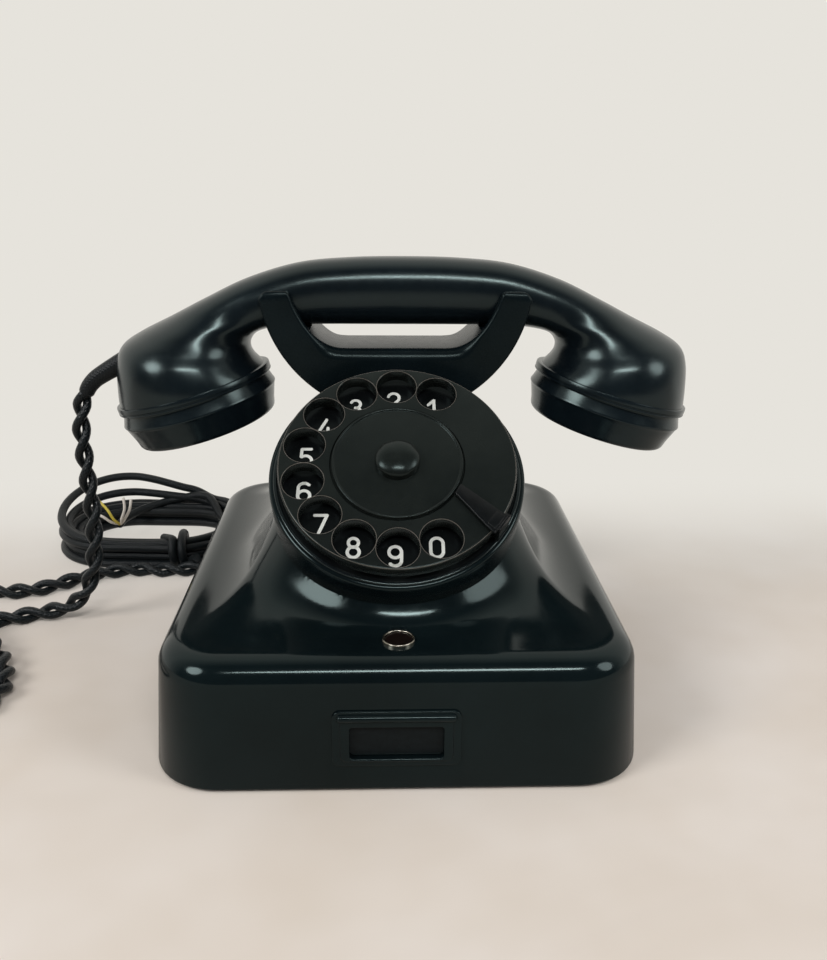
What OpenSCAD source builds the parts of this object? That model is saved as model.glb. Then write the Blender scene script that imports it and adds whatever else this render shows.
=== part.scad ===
// Desk telephone with a rotary dial: moulded housing, cradle, handset, dial unit,
// ringer, hook switch and cords, each piece a solid of its own.
// +Z is up and the front faces -Y; the origin is the middle of the footprint.

/* [Housing] */
// Width of the housing at its lower edge
base_w = 165; // [150:1:190]
// Depth of the housing at its lower edge
base_d = 184; // [170:1:205]
// Corner radius of the housing seen from above
corner_r = 23; // [16:1:30]
// Height of the straight skirt
skirt_h = 35.5; // [30:0.5:42]
// Draft of the skirt on each side
skirt_draft = 2.3; // [0.5:0.1:4]
// Radius of the rolled edge between skirt and roof
roll_r = 9; // [6:0.5:12]
// Wall thickness of the moulding
wall = 3; // [2.4:0.1:4]
// Height of the neck under the cradle
neck_z = 106; // [100:0.5:107]
// Width of the neck under the cradle
neck_w = 50; // [40:1:56]
// How strongly the roof sweeps up to the neck
roof_sweep = 2.3; // [1.8:0.1:3]
// Gap between the table and the housing's lower edge
ground_gap = 1.5; // [1:0.1:2.5]

/* [Base plate] */
// Thickness of the sheet metal base
plate_t = 1.5; // [1:0.1:2]
// Height of the rubber feet
foot_h = 3; // [3:0.1:5]
// Radius of the rubber feet
foot_r = 8; // [6:0.5:10]
// Radius of the base screws
screw_r = 1.75; // [1.25:0.05:2.2]

/* [Dial] */
// Angle of the dial's axis above the table
dial_tilt = 51.8; // [45:0.1:60]
// Outer radius of the collar round the dial
collar_r = 45.3; // [44.8:0.1:46.5]
// Radius of the finger wheel
wheel_r = 41.2; // [40.8:0.1:41.6]
// Thickness of the finger wheel
wheel_t = 5; // [3:0.1:5.4]
// Height of the finger wheel's face above the collar
wheel_rise = 7.3; // [7:0.1:9]
// Diameter of the finger holes
finger_d = 14.2; // [12:0.1:14.4]
// Radius of the circle of finger holes
finger_pcd_r = 33; // [32.6:0.1:33.3]
// Angle between neighbouring finger holes
finger_step = 25.7; // [25.2:0.1:26.5]
// Radius of the disc in the middle of the wheel
centre_disc_r = 22.8; // [18:0.1:23]
// Radius of the dial's shaft
shaft_r = 3; // [2:0.1:4]

/* [Cradle] */
// Height of the cradle's horns
horn_z = 148; // [144:0.5:152]
// Half the distance across the horns
horn_x = 52; // [50:0.5:53]
// Depth of the cradle from front to back
cradle_d = 36; // [34:0.5:40]
// Height of the floor between the horns
trough_z = 125; // [122:0.5:127]
// How far the cradle rises when the handset is lifted
hook_travel = 6; // [4:0.5:7]
// Radius of the cradle's stem
stem_r = 6; // [5:0.1:7]

/* [Handset] */
// Distance between the centres of the ear cap and the mouth cap
cap_span = 170; // [168:1:180]
// Height of the grip's underside
grip_z = 133.3; // [132.5:0.1:136]
// Thickness of the grip
grip_h = 26.3; // [23:0.1:29]
// Width of the grip from front to back
grip_w = 27; // [22:0.1:27]
// Radius of the bells where the caps screw on
bell_r = 31.3; // [29:0.1:32]
// Tilt of the cap faces
cap_tilt = 16; // [12:0.5:20]
// Depth of the caps
cap_h = 16; // [14:0.5:19]
// How far the handset sits to the right of the middle
handset_shift = 3.5; // [0:0.5:4]

/* [Earth button] */
// Outer radius of the button's metal ring
button_ring_r = 5.3; // [5:0.1:6]
// Radius of the push button
button_r = 3.9; // [3:0.1:4]
// Travel of the push button
button_travel = 2.5; // [1.5:0.1:3]

/* [Label frame] */
// Width of the label frame
label_w = 41.5; // [36:0.5:50]
// Height of the label frame
label_h = 19.5; // [16:0.5:22]

/* [Ringer] */
// Radius of each gong
gong_r = 25; // [20:0.5:26]
// Height of each gong
gong_h = 15; // [12:0.5:18]

/* [Cords] */
// Diameter of the twisted handset cord
handset_cord_d = 6.4; // [5.6:0.1:6.4]
// Diameter of the line cord
line_cord_d = 5; // [4:0.1:5.4]

/* [Hidden] */

$fn = 64;
bakelite = "#14181a";
steel = "#b9bcc0";
brass = "#c9a24a";
fibre = "#6b4a2c";
textile = "#16171a";

// Clearances: run round shafts and pressed pieces, free round moving pieces, lay between pieces
// that rest on each other.
run = 0.06;
free = 0.4;
lay = 0.3;

plate_z = foot_h;
floor_z = plate_z + plate_t;
roof_z = ground_gap + skirt_h + roll_r;

// Places of the main groups.
dial_y = -34.8;
dial_z = 90.5;
cradle_y = 27;
button_y = -0.402 * base_d;
screw_x = base_w / 2 - corner_r - 3.5;
screw_y = base_d / 2 - corner_r - 5;
neck_front = cradle_y - 20;
neck_back = cradle_y + 23;
neck_corner = 16;

// ---- outlines ----

function arc(cx, cy, r, start, sweep, n) =
    [for (i = [0:n]) [cx + r * cos(start + sweep * i / n), cy + r * sin(start + sweep * i / n)]];

function between(a, b, n) = [for (i = [1:n - 1]) a + (b - a) * i / n];

// A rounded rectangle with the same number of points whatever its size.
function rounded_ring(half_x, y0, y1, r, side = 6, turn = 7) =
    let (
        c1 = arc(half_x - r, y1 - r, r, 0, 90, turn),
        c2 = arc(-half_x + r, y1 - r, r, 90, 90, turn),
        c3 = arc(-half_x + r, y0 + r, r, 180, 90, turn),
        c4 = arc(half_x - r, y0 + r, r, 270, 90, turn)
    )
    concat(c1, between(c1[turn], c2[0], side), c2, between(c2[turn], c3[0], side),
           c3, between(c3[turn], c4[0], side), c4, between(c4[turn], c1[0], side));

function at_height(ring, z) = [for (p = ring) [p[0], p[1], z]];

function sum(v, i = 0) = i == len(v) - 1 ? v[i] : v[i] + sum(v, i + 1);
function middle(ring) = sum(ring) / len(ring);

// Closes a stack of rings, each counter-clockwise seen from above, lowest first.
module stack(rings) {
    n = len(rings[0]);
    last = len(rings) - 1;
    points = concat([for (ring = rings) each ring], [middle(rings[0]), middle(rings[last])]);
    sides = [for (k = [0:last - 1], i = [0:n - 1]) each [
        [k * n + i, (k + 1) * n + i, k * n + (i + 1) % n],
        [k * n + (i + 1) % n, (k + 1) * n + i, (k + 1) * n + (i + 1) % n]]];
    bottom = [for (i = [0:n - 1]) [i, (i + 1) % n, n * (last + 1)]];
    top = [for (i = [0:n - 1]) [last * n + (i + 1) % n, last * n + i, n * (last + 1) + 1]];
    polyhedron(points, concat(sides, bottom, top), convexity = 8);
}

// ---- the housing's form ----

edge_in = skirt_draft + roll_r;

// How far the roof rises in a concave flare where it meets the dial's collar: narrow in front,
// wide at the sides, and fading out behind, where the collar stands on the neck.
flare_front = 13;
flare_side = 22;
flare_rise = 9;
flare_fade = 30;
function flare_lift(x, y, z) =
    let (
        up_dial = (y - dial_y) * sin(dial_tilt) + (z - dial_z) * cos(dial_tilt),
        from_axis = norm([x, up_dial]),
        width = flare_front + (flare_side - flare_front) * pow(x / from_axis, 2),
        near = max(0, 1 - max(0, from_axis - collar_r) / width),
        fade = max(0, min(1, 1 - up_dial / flare_fade))
    )
    flare_rise * near * near * fade;

function flared(ring) = [for (p = ring) [p[0], p[1], p[2] + flare_lift(p[0], p[1], p[2])]];

// One level of the roof: t is 0 at the rolled edge and 1 at the neck.
function roof_level(t, inset, side, turn) =
    let (
        half_x = (base_w / 2 - edge_in) * (1 - t) + neck_w / 2 * t - inset,
        y0 = (-base_d / 2 + edge_in) * (1 - t) + neck_front * t + inset,
        y1 = (base_d / 2 - edge_in) * (1 - t) + neck_back * t - inset,
        r = (corner_r - roll_r) * (1 - t) + neck_corner * t - inset,
        z = roof_z + (neck_z - roof_z) * pow(t, roof_sweep) - inset
    )
    at_height(rounded_ring(half_x, y0, y1, max(r, 2), side, turn), z);

function roll_level(angle, inset, side, turn) =
    let (
        i = skirt_draft + roll_r * (1 - cos(angle)) + inset,
        r = corner_r - roll_r * (1 - cos(angle)) - inset
    )
    at_height(rounded_ring(base_w / 2 - i, -base_d / 2 + i, base_d / 2 - i, max(r, 2), side, turn),
              ground_gap + skirt_h + roll_r * sin(angle) - inset);

function skirt_level(z, inset, side, turn) =
    at_height(rounded_ring(base_w / 2 - inset, -base_d / 2 + inset, base_d / 2 - inset,
                           corner_r - inset, side, turn), z);

module outer_form() {
    stack(concat(
        [skirt_level(ground_gap, 0, 12, 5)],
        [for (a = [0:18:90]) roll_level(a, 0, 12, 5)],
        [for (i = [1:18]) flared(roof_level(i / 18, 0, 12, 5))]));
}

module inner_form() {
    stack(concat(
        [skirt_level(ground_gap - 1, wall, 3, 4)],
        [for (a = [0:30:90]) roll_level(a, wall, 3, 4)],
        [for (i = [1:8]) roof_level(i / 8, wall, 3, 4)]));
}

module at_dial() {
    translate([0, dial_y, dial_z]) rotate([90 - dial_tilt, 0, 0]) children();
}

collar_lip = 1.6;
rim_round = 1.4;
case_r = collar_r - collar_lip;
case_depth = 14;
collar_depth = 34;

module collar_form() {
    at_dial() rotate_extrude($fn = 96) polygon(concat(
        [[0, -collar_depth], [collar_r, -collar_depth]],
        arc(collar_r - rim_round, -rim_round, rim_round, 0, 90, 5),
        [[0, 0]]));
}

module below_roof() {
    intersection() {
        outer_form();
        children();
    }
}

module each_corner() {
    for (sx = [-1, 1], sy = [-1, 1]) translate([sx * screw_x, sy * screw_y, 0]) children();
}

boss_r = 5;
boss_bore_r = screw_r + 0.1;
guide_r = stem_r + 3;
guide_flange_r = guide_r + 2.5;

button_shaft_r = button_ring_r - 0.4;
button_seat_z = roof_z - 0.6;
gland_r = 5;
gland_z = 12;
gland_x = [-36, -8];
nozzle_l = 3;

module housing() {
    color(bakelite) difference() {
        union() {
            difference() {
                union() {
                    outer_form();
                    collar_form();
                }
                inner_form();
                at_dial() translate([0, 0, -collar_depth - 40]) cylinder(r = case_r - 2.4, h = collar_depth + 60);
            }
            below_roof() union() {
                each_corner() translate([0, 0, floor_z]) cylinder(r = boss_r, h = roof_z, $fn = 32);
                translate([0, cradle_y, neck_z - 14]) cylinder(r = guide_r + 3, h = 20);
            }
        }
        at_dial() translate([0, 0, -case_depth]) cylinder(r = case_r + run, h = case_depth + 20, $fn = 96);
        each_corner() cylinder(r = boss_bore_r, h = floor_z + screw_l + 2, $fn = 32);
        translate([0, cradle_y, neck_z - 30]) cylinder(r = guide_r, h = 60);
        translate([0, button_y, button_seat_z]) cylinder(r = button_ring_r + run, h = 20);
        translate([0, button_y, button_seat_z - 12]) cylinder(r = button_shaft_r + run, h = 20);
        for (x = gland_x) translate([x, base_d / 2, gland_z]) rotate([90, 0, 0])
            cylinder(r = gland_r, h = 20, center = true, $fn = 32);
        label_recess();
    }
}

// ---- base ----

plate_inset = wall + 2 * free;

module rounded_plate(w, d, r, t) {
    linear_extrude(t) union() {
        square([w - 2 * r, d], center = true);
        square([w, d - 2 * r], center = true);
        for (sx = [-1, 1], sy = [-1, 1]) translate([sx * (w / 2 - r), sy * (d / 2 - r)]) circle(r);
    }
}

module base_plate() {
    color(steel) translate([0, 0, plate_z]) difference() {
        rounded_plate(base_w - 2 * plate_inset, base_d - 2 * plate_inset, corner_r - plate_inset, plate_t);
        each_corner() translate([0, 0, -1]) cylinder(r = screw_r + 0.25, h = plate_t + 2, $fn = 32);
        for (x = [-12:6:12]) translate([x, 0, -1]) cylinder(r = 1.5, h = plate_t + 2, $fn = 24);
    }
}

foot_in = [16, 6];
foot_x = screw_x - foot_in[0];
foot_y = screw_y - foot_in[1];
module foot(i) {
    sx = i < 3 ? -1 : 1;
    sy = i % 2 == 0 ? 1 : -1;
    color("#1b1b1b") translate([sx * foot_x, sy * foot_y, 0]) rotate_extrude() polygon([
        [0, 0], [foot_r - 1, 0], [foot_r, 1], [foot_r - 0.6, foot_h], [0, foot_h]]);
}

screw_l = 12;
slot_w = 0.7;
module base_screws() {
    head_h = foot_h - ground_gap;
    head_r = screw_r * 1.9;
    color(steel) each_corner() translate([0, 0, plate_z - head_h]) difference() {
        union() {
            cylinder(r = head_r, h = head_h, $fn = 32);
            cylinder(r = screw_r, h = head_h + screw_l, $fn = 32);
        }
        cube([3 * head_r, slot_w, slot_w * 1.4], center = true);
    }
}

// ---- label frame on the skirt ----

label_x = -0.75;
label_z = 20.25;
label_seat = 1.2;
label_face = 1.4;
label_rim = 5.6;
skirt_lean = atan(skirt_draft / skirt_h);

// Draws in the skirt's front face: x to the right, y up the face, z out of it.
module on_skirt() {
    translate([label_x, -base_d / 2 + skirt_draft * (label_z - ground_gap) / skirt_h, label_z])
        rotate([90 - skirt_lean, 0, 0]) children();
}

module soft_rect(w, h, r) {
    square([w - 2 * r, h], center = true);
    square([w, h - 2 * r], center = true);
    for (sx = [-1, 1], sy = [-1, 1]) translate([sx * (w / 2 - r), sy * (h / 2 - r)]) circle(r, $fn = 24);
}

module label_recess() {
    on_skirt() translate([0, 0, -label_seat]) linear_extrude(10)
        soft_rect(label_w + 2 * run, label_h + 2 * run, 2.5 + run);
}

module label_frame() {
    color(bakelite) on_skirt() {
        translate([0, 0, -label_seat]) linear_extrude(label_seat + label_face) difference() {
            soft_rect(label_w, label_h, 2.5);
            soft_rect(label_w - 2 * label_rim, label_h - 2 * label_rim + 4, 1);
        }
        translate([0, label_h / 2 - 1.6, label_face]) rotate([0, 90, 0])
            cylinder(r = 1.3, h = label_w - 3, center = true, $fn = 24);
    }
}

module label_card() {
    color("#1c2022") on_skirt() translate([0, 0, -label_seat]) linear_extrude(0.8)
        soft_rect(label_w - 2 * label_rim - 2 * run, label_h - 2 * label_rim + 4 - 2 * run, 0.9);
}

// ---- earth button ----

module at_button(z) {
    translate([0, button_y, z]) children();
}

ring_proud = 2.6;
button_flush = 0.9;
button_length = 16;

module button_ring() {
    color(steel) at_button(button_seat_z) rotate_extrude() polygon([
        [button_r + run, -9], [button_shaft_r, -9], [button_shaft_r, 0], [button_ring_r, 0],
        [button_ring_r, ring_proud - 0.5], [button_ring_r - 0.5, ring_proud],
        [button_r + run + 0.4, ring_proud], [button_r + run, ring_proud - 0.4]]);
}

module push_button() {
    top = ring_proud - button_flush;
    color("#3a1712") at_button(button_seat_z) rotate_extrude() polygon(concat(
        [[0, top - button_length], [1.6, top - button_length], [1.6, -9 - free], [button_r, -9 - free]],
        arc(button_r - 0.8, top - 0.8, 0.8, 0, 90, 4),
        [[0, top]]));
}

contact_z = button_seat_z + ring_proud - button_flush - button_length;
leaf_top = contact_z - button_travel - free;
leaf_foot = 6;
leaf_w = 5;
leaf_t = 1.2;
leaf_pitch = 3.6;
module button_contacts() {
    color(brass) at_button(0) translate([0, -leaf_pitch / 2, 0]) {
        translate([-leaf_w / 2 - 1.5, -leaf_t, floor_z]) cube([leaf_w + 3, leaf_pitch + 2 * leaf_t, leaf_foot]);
        for (k = [0, 1]) translate([-leaf_w / 2, leaf_pitch * k - leaf_t / 2, floor_z + leaf_foot])
            cube([leaf_w, leaf_t, leaf_top - 2 * leaf_t * k - floor_z - leaf_foot]);
        translate([-leaf_w / 2, -leaf_t / 2, leaf_top - 2.5 * leaf_t]) cube([leaf_w, leaf_pitch + leaf_t, leaf_t]);
    }
}

// ---- dial unit, drawn in the dial's own frame ----

shoulder_r = case_r - 3;
plate_top = 0.2;
plate_h = 1.2;
case_floor_t = 1.6;
wheel_face = wheel_rise;
wheel_back = wheel_rise - wheel_t;
frame_t = 1.6;
frame_z = -case_depth + case_floor_t;
frame_top = frame_z + frame_t;
bush_r = shaft_r + 2.2;
bush_low = frame_z - 9;
gear_z = frame_top + 1.6;
gear_t = 1.5;
tooth = 0.75;
main_teeth = 60;
cam_teeth = 12;
governor_teeth = 10;
cam_at = [(main_teeth + cam_teeth) * tooth / 2 + 0.12, 210];
governor_at = [(main_teeth + governor_teeth) * tooth / 2 + 0.12, 330];
spindle_r = 1.2;
stop_angle = -32;
stop_gap = 0.6;
stop_t = 1.3;
knob_r = 7.8;
knob_h = 3.6;
disc_t = 1;

module dial_case() {
    color(bakelite) at_dial() rotate_extrude($fn = 96) polygon([
        [shoulder_r - 9, -case_depth], [case_r, -case_depth], [case_r, -0.2], [case_r - 0.5, 0.5],
        [case_r - 1.4, 0.5], [case_r - 1.4, plate_top - plate_h], [shoulder_r, plate_top - plate_h],
        [shoulder_r, frame_z], [shoulder_r - 9, frame_z]]);
}

module number_plate() {
    color(bakelite) at_dial() translate([0, 0, plate_top - plate_h]) difference() {
        cylinder(r = case_r - 1.4 - run, h = plate_h, $fn = 96);
        translate([0, 0, -1]) cylinder(r = 12, h = plate_h + 2);
    }
}

module dial_frame() {
    color(brass) at_dial() difference() {
        union() {
            translate([0, 0, frame_z]) cylinder(r = shoulder_r - run, h = frame_t, $fn = 96);
            translate([0, 0, bush_low]) cylinder(r = bush_r, h = frame_top - bush_low + 0.6);
        }
        translate([0, 0, bush_low - 1]) cylinder(r = shaft_r + run, h = 20);
        for (at = [cam_at, governor_at]) rotate(at[1]) translate([at[0], 0, frame_z - 1])
            cylinder(r = spindle_r + run, h = frame_t + 2, $fn = 32);
        for (a = [30, 90, 150]) rotate(a) translate([28, 0, frame_z - 1]) cylinder(r = 5, h = frame_t + 2);
    }
}

barrel_r = 14;
barrel_h = 7.5;
barrel_t = 1.2;
module spring_barrel() {
    color(steel) at_dial() rotate_extrude() polygon([
        [bush_r + run, frame_z - barrel_h], [barrel_r, frame_z - barrel_h], [barrel_r, frame_z],
        [barrel_r - barrel_t, frame_z], [barrel_r - barrel_t, frame_z - barrel_h + barrel_t],
        [bush_r + run, frame_z - barrel_h + barrel_t]]);
}

// One gear outline: a tooth's flanks run straight from root to tip.
function gear_points(teeth, backlash = 0.12) =
    let (r = teeth * tooth / 2, pitch = 360 / teeth, slack = backlash / r * 57.3)
    [for (i = [0:teeth - 1]) each [
        for (p = [[-0.36, -1.15], [-0.13, 0.85], [0.13, 0.85], [0.36, -1.15]])
            let (a = (i + p[0]) * pitch - sign(p[0]) * slack, q = r + p[1] * tooth)
            [q * cos(a), q * sin(a)]]];

module main_gear() {
    color(brass) at_dial() translate([0, 0, gear_z]) linear_extrude(gear_t) difference() {
        polygon(gear_points(main_teeth));
        circle(shaft_r + 0.01);
        for (a = [0:72:359]) rotate(a + 20) translate([13.5, 0]) circle(4.2);
    }
}

module dial_shaft() {
    color(steel) at_dial() {
        translate([0, 0, bush_low - 3]) cylinder(r = shaft_r, h = wheel_face - bush_low + 3);
        translate([0, 0, bush_low - 2.6]) cylinder(r = shaft_r + 1.5, h = 2.6 - lay);
    }
}

hub_r = 8;
module finger_wheel() {
    color(bakelite) at_dial() difference() {
        rotate_extrude($fn = 96) polygon(concat(
            [[shaft_r + 0.01, gear_z + gear_t], [hub_r, gear_z + gear_t], [hub_r, wheel_back],
             [wheel_r - 0.6, wheel_back], [wheel_r, wheel_back + 0.6]],
            arc(wheel_r - 1, wheel_face - 1, 1, 0, 90, 4),
            [[centre_disc_r + 1.3, wheel_face], [centre_disc_r + 0.7, wheel_face - 0.5],
             [centre_disc_r + 0.1, wheel_face], [shaft_r + 0.01, wheel_face]]));
        for (i = [0:9]) rotate(90 - finger_step + i * finger_step) translate([finger_pcd_r, 0, 0])
            cylinder(r = finger_d / 2, h = wheel_face + 1);
    }
}

module wheel_disc() {
    color(bakelite) at_dial() rotate_extrude($fn = 96) polygon([
        [0, wheel_face], [centre_disc_r, wheel_face], [centre_disc_r, wheel_face + disc_t - 0.4],
        [centre_disc_r - 0.4, wheel_face + disc_t], [centre_disc_r - 1.2, wheel_face + disc_t],
        [centre_disc_r - 1.6, wheel_face + disc_t - 0.4], [0, wheel_face + disc_t - 0.4]]);
}

module wheel_knob() {
    z = wheel_face + disc_t - 0.4;
    color(bakelite) at_dial() rotate_extrude() polygon(concat(
        [[0, z], [knob_r - 0.6, z]],
        [for (a = [0:10:90]) [knob_r * cos(a), z + 0.6 + (knob_h - 0.6) * sin(a)]]));
}

module finger_stop() {
    low = wheel_face + stop_gap;
    color(steel) at_dial() {
        rotate(stop_angle) translate([wheel_r + 0.5, -3.6, 0.5]) cube([case_r - wheel_r - 0.6, 7.2, low + stop_t - 0.5]);
        translate([0, 0, low]) linear_extrude(stop_t) polygon(concat(
            [for (s = [0:0.1:1]) stop_side(s, -1)], [for (s = [1:-0.1:0]) stop_side(s, 1)]));
    }
}

// The stop's blade narrows and bends from the rim towards the middle.
function stop_side(s, side) =
    let (
        r = case_r - 0.1 + (centre_disc_r + 1 - case_r) * s,
        a = stop_angle + 8 * pow(s, 1.4) + side * (3.4 - 2.4 * s) / r * 57.3
    )
    [r * cos(a), r * sin(a)];

module pulse_contacts() {
    color(fibre) at_dial() translate([-37, -8.5, frame_top]) cube([6, 6, 7]);
    color(steel) at_dial() for (k = [0, 1]) translate([-33.6 - 1.6 * k, -20, frame_top + 4.4]) cube([0.4, 12.4, 2.2]);
}

module pulse_cam() {
    color(brass) at_dial() rotate(cam_at[1]) translate([cam_at[0], 0, 0]) {
        translate([0, 0, frame_z - 2]) cylinder(r = spindle_r, h = 11.6, $fn = 32);
        translate([0, 0, gear_z]) linear_extrude(gear_t) rotate(180 + 180 / cam_teeth) polygon(gear_points(cam_teeth));
        translate([0, 0, gear_z + gear_t]) cylinder(r = 2.4, h = 1.2, $fn = 32);
        translate([0, 0, gear_z + gear_t + 1.2]) linear_extrude(1.8) union() {
            circle(4);
            for (a = [0:120:359]) rotate(a) translate([3.2, 0]) circle(2.2, $fn = 32);
        }
    }
}

module governor() {
    color(brass) at_dial() rotate(governor_at[1]) translate([governor_at[0], 0, 0]) {
        translate([0, 0, frame_z - 2]) cylinder(r = spindle_r, h = 12, $fn = 32);
        translate([0, 0, gear_z]) linear_extrude(gear_t) rotate(180 + 180 / governor_teeth)
            polygon(gear_points(governor_teeth));
        translate([-7.5, -0.8, gear_z + gear_t + 0.8]) cube([15, 1.6, 1.2]);
        for (s = [-1, 1]) translate([s * 7, 0, gear_z + gear_t + 0.6]) cylinder(r = 1.8, h = 2.6, $fn = 32);
    }
}

// ---- cradle and hook switch ----

cradle_r = horn_x + 0.5;
cradle_centre_z = horn_z + 4;
cradle_low = neck_z + 2;
trough_r = 20;
trough_x = 19.5;
pocket_d = 1.06 * grip_w + 2 * free;
stem_low = neck_z - 22;

// The pocket's floor falls away outwards, as the handset's underside does.
module pocket_outline() {
    drop = [[horn_x - 16, lay], [horn_x - 10, lay + 0.3], [horn_x - 4, lay + 1.2], [horn_x, lay + 2.3],
            [horn_x + 8, lay + 5]];
    top = grip_z + 2 * grip_h;
    polygon(concat([for (p = drop) [p[0], grip_z - p[1]]], [[horn_x + 8, top], [-horn_x - 8, top]],
                   [for (i = [len(drop) - 1:-1:0]) [-drop[i][0], grip_z - drop[i][1]]]));
}

module cradle_outline() {
    difference() {
        intersection() {
            translate([0, cradle_centre_z]) circle(cradle_r, $fn = 128);
            translate([-horn_x - 5, cradle_low]) square([2 * horn_x + 10, horn_z - cradle_low]);
        }
        translate([-trough_x, trough_z]) square([2 * trough_x, 60]);
        for (s = [-1, 1]) translate([s * trough_x, trough_z + trough_r]) circle(trough_r);
        translate([-trough_x - trough_r, trough_z + trough_r]) square([2 * (trough_x + trough_r), 60]);
    }
}

module cradle() {
    color(bakelite) difference() {
        union() {
            translate([0, cradle_y + cradle_d / 2, 0]) rotate([90, 0, 0]) linear_extrude(cradle_d) cradle_outline();
            translate([0, cradle_y, stem_low]) cylinder(r = stem_r, h = cradle_low - stem_low + 2);
        }
        translate([0, cradle_y + pocket_d / 2, 0]) rotate([90, 0, 0]) linear_extrude(pocket_d) pocket_outline();
    }
}

module cradle_guide() {
    color(brass) translate([0, cradle_y, 0]) rotate_extrude() polygon([
        [stem_r + run, neck_z - 14], [guide_r - run, neck_z - 14], [guide_r - run, neck_z],
        [guide_flange_r, neck_z], [guide_flange_r, neck_z + 1], [stem_r + run, neck_z + 1]]);
}

lever_pivot_y = cradle_y + 17;
lever_top = stem_low - lay;
lever_t = 3;
pivot_z = lever_top - lever_t / 2;
pivot_r = 1.5;
lever_w = 8;

module hook_lever() {
    color(steel) difference() {
        union() {
            translate([-lever_w / 2, cradle_y - 2, lever_top - lever_t]) cube([lever_w, lever_pivot_y - cradle_y + 2, lever_t]);
            translate([0, lever_pivot_y, pivot_z]) rotate([0, 90, 0]) cylinder(r = 3, h = lever_w, center = true);
        }
        translate([0, lever_pivot_y, pivot_z]) rotate([0, 90, 0]) cylinder(r = pivot_r + run, h = 20, center = true);
    }
}

bracket_y = lever_pivot_y + 5;
bracket_t = 1.5;
bracket_foot = 8;
ear_r = 4.5;
bridge_h = 8;
ear_x = lever_w / 2 + free;
leg_w = 6;

module switch_bracket() {
    color(steel) {
        for (s = [-1, 1]) {
            translate([s * (ear_x + leg_w / 2) - leg_w / 2, bracket_y, floor_z])
                cube([leg_w, bracket_t, lever_top + 2 - floor_z]);
            translate([s * (ear_x + bracket_t / 2) - bracket_t / 2, lever_pivot_y - ear_r, pivot_z - ear_r])
                cube([bracket_t, bracket_y - lever_pivot_y + ear_r + bracket_t / 2, 2 * ear_r]);
            translate([s * (ear_x + leg_w / 2) - leg_w / 2, bracket_y - bracket_foot, floor_z])
                cube([leg_w, bracket_foot + bracket_t / 2, bracket_t]);
        }
        translate([-ear_x - leg_w, bracket_y, pivot_z / 2]) cube([2 * (ear_x + leg_w), bracket_t, bridge_h]);
        translate([0, lever_pivot_y, pivot_z]) rotate([0, 90, 0])
            cylinder(r = pivot_r, h = 2 * ear_x + bracket_t, center = true);
    }
}

stack_w = 7;
blade_l = 18;
blade_w = 5;
module hook_contacts() {
    x = ear_x + bracket_t;
    y = lever_pivot_y - ear_r;
    color(fibre) translate([x, y, pivot_z - ear_r]) cube([stack_w, 5, 2 * ear_r]);
    color(brass) for (k = [0:2]) translate([x + 1.4 + 2 * k, y - blade_l, pivot_z - blade_w / 2])
        cube([0.5, blade_l + 0.2, blade_w]);
}

// ---- ringer ----

gong_z = 12;
gong_wall = 1.4;
gong_bore_r = 1.6;
hammer_r = 4.5;
hammer_gap = 6.5;
hammer_arm = 26;
arm_r = 1;
gong_x = gong_r + hammer_r + hammer_gap;
coil_in = 14;
coil_y = base_d / 2 - coil_in;
coil_x = 14;
coil_r = 7.5;
coil_h = 22;
yoke_t = 2.5;
yoke_end = 5.5;
clapper_in = 14.5;
clapper_y = coil_y - clapper_in;
clapper_z = 18;
clapper_pin_r = 2;
clapper_hub_r = 4;
armature = [32, 3, 4];
arm_root = 2;
gong_y = clapper_y - hammer_arm - arm_root;
hammer_y = gong_y;

module gong(side) {
    color(steel) translate([side * gong_x, gong_y, gong_z]) difference() {
        rotate_extrude() polygon(concat(
            [[gong_r - gong_wall, 0], [gong_r, 0]],
            [for (a = [0:10:80]) [gong_r * cos(a), 3 + (gong_h - 3) * sin(a)]],
            [[0, gong_h]], [[0, gong_h - gong_wall]],
            [for (a = [80:-10:0]) [(gong_r - gong_wall) * cos(a), 3 + (gong_h - 3 - gong_wall) * sin(a)]]));
        cylinder(r = gong_bore_r, h = 2 * gong_h, $fn = 32);
    }
}

module gong_post(side) {
    top = gong_z + gong_h;
    color(steel) translate([side * gong_x, gong_y, 0]) {
        translate([0, 0, floor_z]) cylinder(r = 3.5, h = top - gong_wall - lay - floor_z);
        translate([0, 0, floor_z]) cylinder(r = gong_bore_r - run, h = top + 3 - floor_z, $fn = 32);
        translate([0, 0, top]) cylinder(r = 3.2, h = 2.4, $fn = 6);
    }
}

module ringer_frame() {
    color(steel) {
        translate([-coil_x - coil_r - 2.5, clapper_y - yoke_end, floor_z])
            cube([2 * (coil_x + coil_r + 2.5), coil_y - clapper_y + yoke_end + coil_r, yoke_t]);
        translate([0, clapper_y, floor_z]) cylinder(r = clapper_pin_r, h = clapper_z + 2 * armature[2] - floor_z);
        translate([0, clapper_y, floor_z]) cylinder(r = clapper_hub_r, h = clapper_z - lay - floor_z);
        for (s = [-1, 1]) translate([s * coil_x, coil_y, floor_z]) cylinder(r = 3, h = coil_h + yoke_t + 3, $fn = 32);
    }
}

module ringer_coil(side) {
    color("#8c3b22") translate([side * coil_x, coil_y, floor_z + yoke_t]) rotate_extrude() polygon([
        [3.02, 0], [coil_r, 0], [coil_r, 1.4], [coil_r - 1, 1.4], [coil_r - 1, coil_h - 1.4],
        [coil_r, coil_h - 1.4], [coil_r, coil_h], [3.02, coil_h]]);
}

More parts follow.
